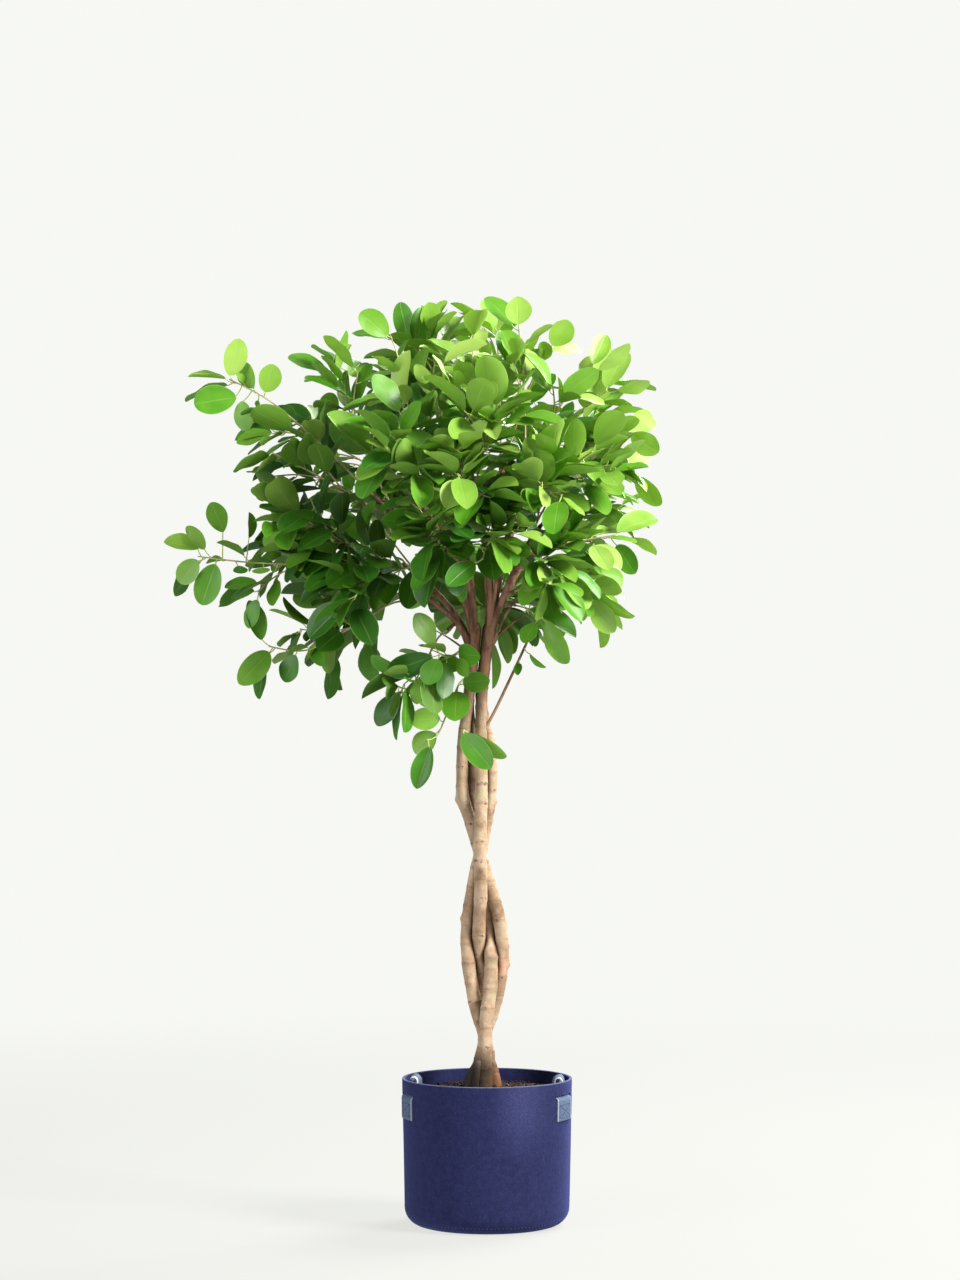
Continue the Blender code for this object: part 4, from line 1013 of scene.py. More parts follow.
def grow_extras(branch, rng, shoots, shares, size, space):
    """Grow more shoots on a branch, and more leaves on all its twigs."""
    for share in shoots:
        shoot = grow_shoot(branch, share, rng, space)
        if shoot:
            branch["twigs"].append(shoot)
    turn = rng.uniform(0.0, math.tau)
    plans = [(0, share) for share in shares]
    for index in range(1, len(branch["twigs"])):
        plans += [(index, share) for share in SHOOT_LEAF_SHARES]
    for index, share in plans:
        spot, way = along_line(branch["twigs"][index][0], share)
        grow_leaf(branch, spot, way, turn, size * rng.uniform(*EXTRA_SPREAD), rng, space, EXTRA_LIE)
        turn += GOLDEN_ANGLE


def grow_thin_limbs(stems, space):
    """Give the thin limbs that fan out between the others."""
    grown = []
    for number, (stem, height, end, thick) in enumerate(THIN_LIMBS):
        start, way = along_stem(stems[stem][0], height)
        rng = random.Random(EXTRA_SEED * 3000 + number)
        radii = taper(thick * MM, THIN_TIP_SHARE * thick * MM, LIMB_POINTS)
        for attempt in range(TWIG_TRIES):
            tip = Vector(end) * MM + random_way(rng) * (attempt * THIN_TIP_STRAY)
            line = grow_line(start, way, tip, 0.0, LIMB_POINTS, rng, attempt * THIN_BEND_STRAY)
            if space.is_clear(*shell_of_tube(line[1:], radii[1:], 0.0), ignored=STEM_NAMES):
                break
        else:
            print("thin limb left out:", stem, end)
            continue
        space.add(stem, *shell_of_tube(line, radii, 0.0))
        grown.append({"stem": stem, "line": line, "radii": radii})
    return grown


def fill_crown(branches, space):
    """Grow the extra shoots and leaves of every branch."""
    for branch in branches:
        branch["frame_leaves"] = len(branch["leaves"])
    for number, base, tip, width, roll in SMALL_LEAVES:
        grow_marked_leaf(branches[number - 1], base, tip, width, roll, space)
    for number, branch in enumerate(branches, start=1):
        rng = random.Random(EXTRA_SEED * 1000 + number)
        if number in BARE_BRANCHES:
            continue
        if number in LOOSE_BRANCHES:
            grow_extras(branch, rng, (), LOOSE_LEAF_SHARES, LOOSE_SIZE, space)
        else:
            grow_extras(branch, rng, EXTRA_SHOOTS, EXTRA_LEAF_SHARES, EXTRA_SIZE, space)
    for number in DENSE_BRANCHES:
        rng = random.Random(EXTRA_SEED * 1500 + number)
        grow_extras(branches[number - 1], rng, DENSE_SHOOTS, DENSE_LEAF_SHARES, DENSE_SIZE, space)
    for branch in branches:
        own = branch["leaves"][:branch["frame_leaves"]]
        extra = branch["leaves"][branch["frame_leaves"]:]
        branch["leaves"] = own + [l for l in extra if inside_crown(l) and not hides_fork(l)]


space = Space()
stems, limbs, branches = grow_plant(space)
thin_limbs = grow_thin_limbs(stems, space)
fill_crown(branches, space)
print("thin limbs:", len(thin_limbs), "of", len(THIN_LIMBS))
print("leaves of the frame:", sum(branch["frame_leaves"] for branch in branches))
print("leaves in all:", sum(len(branch["leaves"]) for branch in branches))

# %% [markdown]
# The bark is pale tan, like unglazed clay, with pinkish, greenish and grey clouds. Darker rings
# are the scars of old leaves, and the root swelling is darker brown low down, with a painted shade
# that darkens it towards its left side, from orange-brown to near black. All of it is noise of
# several sizes over one another. The rings are bands of height, bent by noise so that they never
# look turned on a lathe. A painted shade also darkens the creases where the stems touch.

# %% Bark
ROOT_BROWN_TOP = 0.220
ROOT_BROWN_END = 0.262
CROWN_BARK_START = 0.665
CROWN_BARK_END = 0.80
BARK_TANS = (
    (0.30, (0.19, 0.112, 0.062)),
    (0.48, (0.375, 0.258, 0.165)),
    (0.70, (0.54, 0.425, 0.315)),
)
# Browns of the root swelling: lit orange-brown on the right, and painted shade towards near black on
# the left
ROOT_BROWNS_AND_SHADE = (
    (0.10, (0.007, 0.005, 0.004)),
    (0.42, (0.018, 0.010, 0.006)),
    (0.65, (0.036, 0.019, 0.009)),
    (0.92, (0.14, 0.052, 0.016)),
)


def bark_material():
    """Make the pale bark of stems and limbs."""
    made, tree, shader, place = new_material("pale_bark")
    where = add(tree, "SeparateXYZ", Vector=place)
    height = where.outputs["Z"]
    joint, knob, crease_shade = (attribute(tree, name) for name in ("joint", "knob", "crease_shade"))
    drawn = changed(tree, place, "MULTIPLY", (1.0, 1.0, 0.22))
    flat = changed(tree, place, "MULTIPLY", (1.0, 1.0, 2.6))
    moved = changed(tree, place, "ADD", (3.0, 1.0, 0.4))
    clouds = noise(tree, place, 30.0, 4.0, 0.62)
    colour = ramp(tree, clouds, *BARK_TANS)
    streaks = noise(tree, drawn, 85.0, 3.0, 0.6)
    colour = stain(tree, colour, streaks, (0.46, 0.66), 0.45, (0.27, 0.175, 0.11))
    pink = noise(tree, place, 24.0, 2.0)
    colour = stain(tree, colour, pink, (0.56, 0.70), 0.6, (0.60, 0.33, 0.23))
    green = noise(tree, moved, 27.0, 3.0)
    colour = stain(tree, colour, green, (0.55, 0.70), 0.55, (0.37, 0.345, 0.19))
    specks = noise(tree, flat, 330.0, 3.0, 0.7)
    colour = stain(tree, colour, specks, (0.58, 0.70), 0.55, (0.26, 0.17, 0.11))
    dots = span(tree, noise(tree, flat, 210.0, 1.0), 0.68, 0.76)
    colour = mix(tree, times(tree, dots, 0.6), colour, (0.72, 0.60, 0.46))
    broken = span(tree, noise(tree, moved, 75.0, 2.0), 0.40, 0.58, 0.15, 1.0)
    ring = times(tree, span(tree, joint, 0.35, 0.95), broken)
    colour = mix(tree, times(tree, ring, 0.5), colour, (0.24, 0.145, 0.085))
    scar = times(tree, span(tree, noise(tree, place, 210.0, 3.0, 0.7), 0.53, 0.60),
                 span(tree, noise(tree, moved, 42.0, 1.0), 0.53, 0.59), span(tree, joint, 0.12, 0.6))
    colour = mix(tree, times(tree, scar, 0.8), colour, (0.085, 0.050, 0.030))
    colour = stain(tree, colour, knob, (0.55, 0.95), 0.65, (0.24, 0.15, 0.095))
    young = mix(tree, span(tree, streaks, 0.38, 0.60), (0.31, 0.145, 0.088), (0.095, 0.038, 0.024))
    colour = stain(tree, colour, height, (CROWN_BARK_START, CROWN_BARK_END), 0.9, young)
    # Painted shade on the root swelling: its brown runs from near black on the left side to
    # orange-brown on the lit right side.
    waver = maths(tree, "MULTIPLY_ADD", noise(tree, place, 60.0, 2.0), 0.016, -0.008)
    aside = span(tree, maths(tree, "ADD", where.outputs["X"], waver), -0.032, 0.026)
    brown = span(tree, height, ROOT_BROWN_TOP, ROOT_BROWN_END, 0.95, 0.0)
    colour = mix(tree, brown, colour, ramp(tree, aside, *ROOT_BROWNS_AND_SHADE))
    # Painted shade: where the stems touch, the creases between them are darkened, down to near black.
    colour = stain(tree, colour, crease_shade, (0.03, 0.40), 0.55, (0.20, 0.105, 0.050))
    colour = stain(tree, colour, crease_shade, (0.30, 0.85), 0.92, (0.045, 0.020, 0.009))
    relief = noise(tree, place, 300.0, 5.0, 0.65)
    for pattern, depth in ((clouds, 0.8), (dots, 0.5), (streaks, -0.5), (ring, -0.5), (scar, -0.9)):
        relief = maths(tree, "MULTIPLY_ADD", pattern, depth, relief)
    finish(tree, shader, colour, 0.68, 0.3, bump(tree, relief, 0.8 * MM, 0.85))
    return made


bark = bark_material()
print("made", bark.name)

# %% [markdown]
# A stem could be a lathe turning bent to shape, but living wood swells at each old leaf joint and
# carries the knobs of pruned side shoots. So each stem is a curve with a round bevel, whose radius
# swells at the joints, turned into a mesh whose points are then pushed out round each knob. The
# limbs and the stubs of the branches are curves of the same kind, sunk into the stem.

# %% Sizes of the wood's details
STEM_RESOLUTION = 7
SMALL_RESOLUTION = 3
POINT_STEP = 4.0 * MM
STEM_POINT_STEP = 2.4 * MM
WELD = 0.01 * MM
JOINT_SPACING = 27.0 * MM
JOINT_SWELL = 0.55 * MM
JOINT_WIDTH = 2.4 * MM
SLOW_SWELL = 0.45 * MM
SLOW_WAVES = (43.0, 97.0)
KNOBS_PER_STEM = 13
KNOB_HEIGHT = 1.9 * MM
KNOB_REACH = 4.6 * MM
KNOB_SIZES = (0.45, 1.05)
KNOB_END = 4
KNOB_EDGE = 2.2
KNOB_DROOP = 0.25
BRAID_AXIS = -3.0 * MM
BULGE_HEIGHT = 385.0 * MM
BULGE_REACH = 95.0 * MM
BULGE_PRESS = 0.13
ROOT_PRESS_HEIGHT = 224.0 * MM
ROOT_PRESS_REACH = 15.0 * MM
ROOT_PRESS = 0.24
BRAID_TOP = (0.60, 0.70)
BRAID_THICKER = 0.085
DOME_STEP = 0.4
DOME_SHARES = (0.92, 0.72, 0.45, 0.12)
RIDGE_TOP = 262.0 * MM
RIDGE_LENGTH = 45.0 * MM
RIDGE_HEIGHT = 1.1 * MM
RIDGE_TWIST = 9.0
# The height step and the reach of the painted shade in the creases between stems
CREASE_SHADE_STEP = 2.0 * MM
CREASE_SHADE_REACH = 5.0 * MM

# The stump of a stem that was sawn off low: its points and radii, in mm
STUMP_STEM = "stem_front"
STUMP = (
    (-16, -30, 190, 6.2),
    (-14.5, -34, 206, 5.4),
    (-12.5, -36, 222, 4.5),
    (-11.5, -36, 234, 4.2),
    (-11.5, -36, 235, 3.4),
)

# The stem, the height in mm, the side it looks to in degrees from +X, and the size of a knob
MARKED_KNOBS = (
    ("stem_left", 433, 180, 1.5),
    ("stem_right", 368, 0, 1.5),
    ("stem_front", 386, 240, 2.2),
    ("stem_front", 378, 300, 1.8),
    ("stem_right", 600, 180, 1.4),
    ("stem_left", 596, 0, 1.4),
    ("stem_right", 226, 320, 1.6),
    ("stem_right", 505, 200, 1.2),
    ("stem_back", 505, 270, 1.5),
)


# %% Rods along lines
def deselect():
    """Leave nothing selected, so that the next operator acts on its own object alone."""
    bpy.ops.object.select_all(action="DESELECT")


def join(piece, others):
    """Join other pieces into one."""
    deselect()
    for part in [piece] + others:
        part.select_set(True)
    bpy.context.view_layer.objects.active = piece
    bpy.ops.object.join()


def smooth_line(points, radii, step):
    """Give a smooth curve through some points, with a point every step, and radii to match."""
    line = []
    widths = []
    last = len(points) - 1
    for index in range(last):
        near = (max(0, index - 1), index, index + 1, min(last, index + 2))
        count = max(1, round((points[index + 1] - points[index]).length / step))
        for i in range(count + (index == last - 1)):
            t = i / count
            line.append(smooth_between(*(points[place] for place in near), t))
            widths.append(radii[index] + (radii[index + 1] - radii[index]) * t)
    return line, widths


def curve_piece(name, lines, resolution, material):
    """Make round rods along lines, each (points, radii), as one mesh."""
    deselect()
    bpy.ops.curve.primitive_nurbs_path_add()
    rods = bpy.context.object
    rods.name = name
    curve = rods.data
    curve.splines.clear()
    curve.bevel_depth = 1.0
    curve.bevel_resolution = resolution
    curve.use_fill_caps = True
    for points, radii in lines:
        spline = curve.splines.new("POLY")
        spline.points.add(len(points) - 1)
        for mark, point, radius in zip(spline.points, points, radii):
            mark.co = (*point, 1.0)
            mark.radius = radius
    bpy.ops.object.convert(target="MESH")
    bpy.ops.object.mode_set(mode="EDIT")
    bpy.ops.mesh.select_all(action="SELECT")
    bpy.ops.mesh.remove_doubles(threshold=WELD)
    bpy.ops.mesh.normals_make_consistent(inside=False)
    bpy.ops.object.mode_set(mode="OBJECT")
    bpy.ops.object.shade_smooth_by_angle(angle=math.radians(60.0))
    rods.data.materials.clear()
    rods.data.materials.append(material)
    return rods


# %% Swellings of the wood
def bell(away, reach):
    """Give 1 at no distance, and less with distance, down to almost 0 at twice the reach."""
    return math.exp(-((away / reach) ** 2))


def joint_swell(height, phase):
    """Tell how near a height is to an old leaf joint, from 0 to 1."""
    beat = (height + phase) / JOINT_SPACING
    return bell(abs(beat - round(beat)) * JOINT_SPACING, JOINT_WIDTH)


def press(point):
    """Draw a point of a stem in, at the wide bulge and above the root swelling, where they touch."""
    share = BULGE_PRESS * bell(point.z - BULGE_HEIGHT, BULGE_REACH)
    share += ROOT_PRESS * bell(point.z - ROOT_PRESS_HEIGHT, ROOT_PRESS_REACH)
    return Vector((point.x + (BRAID_AXIS - point.x) * share, point.y, point.z))


def thicken(point, radius, phase):
    """Give a stem's full radius: braided wood is thicker, and swells at its joints."""
    low, high = BRAID_TOP
    braided = held((high - point.z) / (high - low))
    first, second = SLOW_WAVES
    slow = SLOW_SWELL * math.sin(point.z * first + phase * 300.0) * math.sin(point.z * second)
    swell = JOINT_SWELL * joint_swell(point.z, phase)
    return radius * (1.0 + BRAID_THICKER * braided) + slow + swell


def round_top(line, radii):
    """Draw a stem's cut top together into a dome that its limbs grow out of."""
    way = (line[-1] - line[-2]).normalized()
    reach = radii[-1]
    for share in DOME_SHARES:
        line.append(line[-1] + way * reach * DOME_STEP)
        radii.append(reach * share)


# %% Ridges, and the painted shade of creases
def ridge_root(piece, line, rng):
    """Give the root swelling its ridges, which run up into the stem and fade."""
    phase = rng.uniform(0.0, math.tau)
    for vertex in piece.data.vertices:
        fade = held((RIDGE_TOP - vertex.co.z) / RIDGE_LENGTH)
        if fade > 0.0:
            middle = min(line, key=lambda point: abs(point.z - vertex.co.z))
            out = Vector((vertex.co.x - middle.x, vertex.co.y - middle.y, 0.0))
            turn = math.atan2(out.y, out.x) + RIDGE_TWIST * (vertex.co.z - RIDGE_TOP)
            wave = math.sin(3.0 * turn + phase) + 0.5 * math.sin(7.0 * turn - phase)
            vertex.co += out.normalized() * (RIDGE_HEIGHT * fade * wave)


def mark_points(piece, name, values):
    """Give each point of a mesh a number that its bark reads."""
    marks = piece.data.attributes.new(name, "FLOAT", "POINT")
    marks.data.foreach_set("value", values)


def mark_crease_shade(piece, name):
    """Mark how near each point of a stem is to the other stems, for the painted shade in the creases
    between them.
    """
    own = STEM_NAMES.index(name)
    levels = {}
    crease_shading = []
    for vertex in piece.data.vertices:
        floor = round(vertex.co.z / CREASE_SHADE_STEP)
        if floor not in levels:
            height = floor * CREASE_SHADE_STEP
            middles = [press(Vector((*place, height))) for place in level_at(height)]
            levels[floor] = middles, stem_radius(height)
        middles, radius = levels[floor]
        others = [middle for index, middle in enumerate(middles) if index != own]
        gap = min((vertex.co.xy - middle.xy).length for middle in others) - radius
        crease_shading.append(bell(max(0.0, gap), CREASE_SHADE_REACH))
    mark_points(piece, "crease_shade", crease_shading)


# %% Knobs
def push_knobs(piece, name, line, radii, rng):
    """Push the surface out round the knobs of pruned side shoots, and mark them for the bark."""
    knobs = []
    for _ in range(KNOBS_PER_STEM):
        index = rng.randrange(KNOB_END, len(line) - KNOB_END)
        knobs.append((index, rng.uniform(0.0, math.tau), rng.uniform(*KNOB_SIZES)))
    for owner, height, side, size in MARKED_KNOBS:
        if owner == name:
            index = min(range(len(line)), key=lambda i: abs(line[i].z - height * MM))
            knobs.append((index, math.radians(side), size))
    amounts = [0.0] * len(piece.data.vertices)
    for index, turn, size in knobs:
        way = Vector((math.cos(turn), math.sin(turn), 0.0))
        middle = line[index] + way * radii[index]
        for vertex in piece.data.vertices:
            reach = (vertex.co - middle).length / (KNOB_REACH * math.sqrt(size))
            if reach < KNOB_EDGE:
                near = math.exp(-reach * reach)
                vertex.co += (way - UP * KNOB_DROOP) * (KNOB_HEIGHT * size * near)
                amounts[vertex.index] = max(amounts[vertex.index], near)
    mark_points(piece, "knob", amounts)


# %% The four stems
def make_stem(name):
    """Make one stem with its limbs and the stubs of its branches."""
    rng = random.Random(name + "_bark")
    phase = rng.uniform(0.0, JOINT_SPACING)
    line, radii = smooth_line(*stems[name], STEM_POINT_STEP)
    line = [press(point) for point in line]
    radii = [thicken(point, radius, phase) for point, radius in zip(line, radii)]
    round_top(line, radii)
    stem = curve_piece(name + "_wood", [(line, radii)], STEM_RESOLUTION, bark)
    ridge_root(stem, line, rng)
    mark_points(stem, "joint", [joint_swell(v.co.z, phase) for v in stem.data.vertices])
    mark_crease_shade(stem, name)
    push_knobs(stem, name, line, radii, rng)
    lines = []
    for limb in list(limbs.values()) + thin_limbs:
        if limb["stem"] == name:
            lines.append(smooth_line(limb["line"], limb["radii"], POINT_STEP))
    lines += [branch["stub"] for branch in branches if branch["stem"] == name]
    if name == STUMP_STEM:
        points = [Vector(row[:3]) * MM for row in STUMP]
        lines.append(smooth_line(points, [row[3] * MM for row in STUMP], POINT_STEP))
    join(stem, [curve_piece(name + "_limbs", lines, SMALL_RESOLUTION, bark)])
    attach(stem, "root")
    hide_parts(name)
    return stem


for name in STEM_NAMES:
    stem = make_stem(name)
    print(stem.name, len(stem.data.polygons), "faces")

# %% [markdown]
# A leaf of this tree is a thick, glossy oval, widest past its middle, with a blunt tip and a pale
# midrib in a shallow fold. It could be a flat card with a picture, but a visible shape belongs in
# the mesh. So one leaf is modelled from a grid: its outline and fold are given by short formulas,
# a copy of the face turned over makes the underside, and the two are merged along the margin. A few
# forms of it, flatter or more folded, are enough for the whole crown.

# %% Leaf forms
LEAF_COLUMNS = 2
LEAF_ROWS = 14
LEAF_BASE_WIDTH = 0.07
MIDRIB_THICKNESS = 0.013
BLADE_THICKNESS = 0.006
MARGIN_WELD = 0.0004
LEAF_RIPPLES = 11.0
LEAF_FORMS = {
    "open": {"fold": 0.10, "wave": 0.012, "cup": 0.03, "foot": 0.60, "tip": 0.54},
    "folded": {"fold": 0.30, "wave": 0.010, "cup": 0.02, "foot": 0.68, "tip": 0.62},
    "cupped": {"fold": 0.16, "wave": 0.018, "cup": 0.10, "foot": 0.64, "tip": 0.50},
    "rolled": {"fold": 0.20, "wave": 0.022, "cup": -0.10, "foot": 0.74, "tip": 0.60},
}


def leaf_half_width(along, foot, tip):
    """Give a leaf's half width at a share of its length, where the widest is 0.5."""
    oval = along ** foot * (1.0 - along) ** tip
    widest = (foot / (foot + tip)) ** foot * (tip / (foot + tip)) ** tip
    return max(0.5 * oval / widest, 0.5 * LEAF_BASE_WIDTH * (1.0 - along))


def make_leaf_form(name, fold, wave, cup, foot, tip):
    """Model one leaf, one unit long along Y and one wide along X, facing +Z."""
    deselect()
    bpy.ops.mesh.primitive_grid_add(x_subdivisions=LEAF_COLUMNS, y_subdivisions=LEAF_ROWS, size=1.0)
    leaf = bpy.context.object
    leaf.name = "leaf_form_" + name
    mesh = leaf.data
    share = []
    for vertex in mesh.vertices:
        along = 0.5 - 0.5 * math.cos(math.pi * (vertex.co.y + 0.5))
        share.append((vertex.co.x * 2.0, along))
    chart = mesh.uv_layers.active
    chart.name = "leaf_map"
    for corner in mesh.loops:
        across, along = share[corner.vertex_index]
        chart.data[corner.index].uv = (0.5 + 0.5 * across, along)
    inner = [abs(across) < 0.99 and 0.01 < along < 0.99 for across, along in share]
    for vertex, (across, along) in zip(mesh.vertices, share):
        half = leaf_half_width(along, foot, tip)
        lift = fold * half * abs(across) + cup * half * across * across
        ripple = wave * 2.0 * half * abs(across) * math.sin(along * LEAF_RIPPLES + across * 2.0)
        vertex.co = (half * across, along, lift + ripple)
    mesh.attributes.new("underside", "FLOAT", "FACE")
    bpy.ops.object.mode_set(mode="EDIT")
    bpy.ops.mesh.select_all(action="SELECT")
    bpy.ops.mesh.duplicate()
    bpy.ops.mesh.flip_normals()
    bpy.ops.object.mode_set(mode="OBJECT")
    under = mesh.attributes["underside"]
    count = len(inner)
    for face in mesh.polygons:
        if min(face.vertices) >= count:
            under.data[face.index].value = 1.0
    for vertex in mesh.vertices:
        if vertex.index >= count and inner[vertex.index - count]:
            across, along = share[vertex.index - count]
            rib = MIDRIB_THICKNESS * (1.15 - along) if abs(across) < 0.01 else BLADE_THICKNESS
            vertex.co.z -= rib
    bpy.ops.object.mode_set(mode="EDIT")
    bpy.ops.mesh.select_all(action="SELECT")
    bpy.ops.mesh.remove_doubles(threshold=MARGIN_WELD)
    bpy.ops.object.mode_set(mode="OBJECT")
    bpy.ops.object.shade_smooth_by_angle(angle=math.radians(75.0))
    return leaf


leaf_forms = [make_leaf_form(name, **form) for name, form in LEAF_FORMS.items()]
for form in leaf_forms:
    print(form.name, len(form.data.polygons), "faces")

# %% [markdown]
# A leaf's colour tells its age and its light: lime where it has just opened, fresh green over the
# outside of the crown, and deep green inside. Each leaf carries that as one number, an attribute
# that the material turns into colour. Midrib and side veins follow the leaf's own map, so that they
# lie on the blade however it is turned. The underside is paler and duller, and some light passes
# through the blade.

# %% Leaf finish
SIDE_VEINS = 15.0
VEIN_SLANT = 0.34
LEAF_GLOW = 0.34
LEAF_GREENS = (
    (0.0, (0.010, 0.064, 0.008)),
    (0.3, (0.030, 0.165, 0.010)),
    (0.55, (0.105, 0.35, 0.018)),
    (0.8, (0.27, 0.50, 0.065)),
    (1.0, (0.42, 0.61, 0.13)),
)
BACK_GREENS = (
    (0.0, (0.035, 0.115, 0.014)),
    (0.5, (0.15, 0.335, 0.032)),
    (1.0, (0.35, 0.56, 0.10)),
)
TWIG_BROWNS = (
    (0.3, (0.26, 0.17, 0.09)),
    (0.48, (0.40, 0.30, 0.16)),
    (0.66, (0.48, 0.47, 0.22)),
)
STALK_GREENS = (
    (0.3, (0.30, 0.42, 0.09)),
    (0.7, (0.48, 0.56, 0.19)),
)


def leaf_material():
    """Make the glossy leaf, its veins, and its dull underside."""
    made, tree, shader, place = new_material("ficus_leaf")
    chart = add(tree, "UVMap", {"uv_map": "leaf_map"}).outputs["UV"]
    parts = add(tree, "SeparateXYZ", Vector=chart)
    aside = times(tree, away_from(tree, parts.outputs["X"], 0.5), 2.0)
    tone_and_light, under = attribute(tree, "tone_and_light"), attribute(tree, "underside")
    patches = noise(tree, place, 42.0, 2.0)
    shade = maths(tree, "ADD", tone_and_light, maths(tree, "MULTIPLY_ADD", patches, 0.24, -0.12))
    colour = mix(tree, under, ramp(tree, shade, *LEAF_GREENS), ramp(tree, shade, *BACK_GREENS))
    rib = span(tree, aside, 0.012, 0.075, 1.0, 0.0)
    beat = maths(tree, "SUBTRACT", parts.outputs["Y"], times(tree, aside, VEIN_SLANT))
    wave = maths(tree, "SINE", times(tree, beat, SIDE_VEINS * math.tau))
    veins = times(tree, span(tree, wave, 0.70, 1.0), span(tree, aside, 0.97, 0.75))
    lines = maths(tree, "MAXIMUM", rib, times(tree, veins, 0.10))
    pale = mix(tree, 0.55, colour, (0.50, 0.66, 0.22))
    colour = mix(tree, times(tree, lines, 0.42), colour, pale)
    colour = stain(tree, colour, aside, (0.93, 0.98), 0.5, (0.42, 0.60, 0.20))
    rough = maths(tree, "ADD", span(tree, under, 0.0, 1.0, 0.37, 0.60),
                  maths(tree, "MULTIPLY_ADD", patches, 0.12, -0.06))
    relief = maths(tree, "SUBTRACT", 1.0, lines)
    finish(tree, shader, colour, rough, normal=bump(tree, relief, 0.35 * MM, 0.7))
    glow = mix(tree, 0.5, colour, (0.58, 0.80, 0.14))
    through = add(tree, "BsdfTranslucent", Color=glow).outputs[0]
    both = add(tree, "MixShader", _0=LEAF_GLOW, _1=shader.outputs[0], _2=through).outputs[0]
    tree.links.new(both, tree.nodes["Material Output"].inputs["Surface"])
    return made


# %% Twig and stalk finishes
def twig_material():
    """Make the pale, faintly green bark of the leafy twigs."""
    made, tree, shader, place = new_material("twig_bark")
    colour = ramp(tree, noise(tree, place, 70.0, 3.0), *TWIG_BROWNS)
    grain = noise(tree, place, 500.0, 3.0)
    finish(tree, shader, colour, 0.65, normal=bump(tree, grain, 0.3 * MM, 0.6))
    return made


def stalk_material():
    """Make the smooth yellow-green of leaf stalks and young shoots."""
    made, tree, shader, place = new_material("green_stalk")
    finish(tree, shader, ramp(tree, noise(tree, place, 45.0, 2.0), *STALK_GREENS), 0.45)
    return made


leaf_green = leaf_material()
twig_bark = twig_material()
stalk_green = stalk_material()
print("made", leaf_green.name, twig_bark.name, stalk_green.name)

# %% [markdown]
# One branch is one piece: its twig and shoots as rods of bark, its stalks as green rods, and its
# leaves as copies of the leaf forms, each bent along its own arch and laid on the place that the
# growing rule gave it. They are joined, because a leaf is grown on to its twig. Leaves in the sun
# are painted lighter than those inside, and a slow noise paints lighter and darker groups of them,
# as light and shade fall through the crown.

# %% Leafy branches
STALK_BASE_RADIUS = 0.95 * MM
STALK_TIP_RADIUS = 0.7 * MM
STALK_SAG = 0.10
TWIG_RESOLUTION = 2
STALK_RESOLUTION = 1
GREEN_BRANCHES = (13, 27, 28)
OLD_BRANCHES = (26,)
TWIG_THIN = 0.62
OLD_TWIG_THIN = 0.95
CROWN_HALF = Vector((0.36, 0.25, 0.32))
TONE_MIDDLE = 0.51
TONE_SPREAD = 0.13
TONE_EDGE = 0.68
# How much darker leaves deep in the crown are, for their age and as painted shade, and how much lighter
# those outside
TONE_INSIDE_AGE_AND_SHADE = 0.85
TONE_OUTSIDE_AGE_AND_LIGHT = 0.40
TONE_TO_LIGHT = 0.55
TONE_YOUNG = 0.14
YOUNG_LENGTH = 55.0 * MM
# Size and strength of the painted light and shade that falls on groups of leaves
SHADE_GROUPS_PER_METRE = 13.0
SHADE_GROUP_SPREAD = 0.38


def leaf_tone_and_light(leaf, rng):
    """Tell how light a leaf is, from 0 for old and shaded to 1 for young and sunlit."""
    middle = leaf_point(leaf, 0.5) - CROWN_MIDDLE
    # Leaves deep in the crown are darker, for their age and as painted shade, and those outside
    # lighter.
    out = math.sqrt(sum((middle[i] / CROWN_HALF[i]) ** 2 for i in range(3))) - TONE_EDGE
    light = TONE_INSIDE_AGE_AND_SHADE * min(0.0, out) + TONE_OUTSIDE_AGE_AND_LIGHT * max(0.0, out)
    # Painted light: leaves to the right and at the top, towards the lamps, are lighter, and a slow
    # noise paints groups of them lighter and darker.
    light += TONE_TO_LIGHT * (middle.x + middle.z)
    light += SHADE_GROUP_SPREAD * vector_noise.noise(middle * SHADE_GROUPS_PER_METRE)
    young = TONE_YOUNG if leaf["length"] < YOUNG_LENGTH else 0.0
    return held(TONE_MIDDLE + light + young + rng.gauss(0.0, TONE_SPREAD))


def copy_of(model, material):
    """Copy a modelled piece with its own mesh, in a finish."""
    made = model.copy()
    made.data = model.data.copy()
    bpy.context.scene.collection.objects.link(made)
    made.data.materials.clear()
    made.data.materials.append(material)
    return made


def place_leaf(form, leaf, tone_and_light):
    """Copy a leaf form and lay it where a leaf grows."""
    made = copy_of(form, leaf_green)
    side = leaf["axis"].cross(leaf["normal"]).normalized()
    for vertex in made.data.vertices:
        across, along, lift = vertex.co
        spot = leaf_point(leaf, along) + side * (across * leaf["width"])
        vertex.co = spot + leaf["normal"] * (lift * leaf["length"])
    tone_and_light_values = made.data.attributes.new("tone_and_light", "FLOAT", "FACE")
    tone_and_light_values.data.foreach_set("value", [tone_and_light] * len(made.data.polygons))
    return made


def stalk_line(leaf):
    """Give the line of a leaf's stalk, from inside its twig to inside its blade."""
    root = leaf["root"]
    base = leaf_point(leaf, 0.03)
    sag = (base - root).length * STALK_SAG
    points = [root]
    for share in (0.35, 0.7):
        points.append(root.lerp(base, share) - UP * (4.0 * sag * share * (1.0 - share)))
    return points + [base]


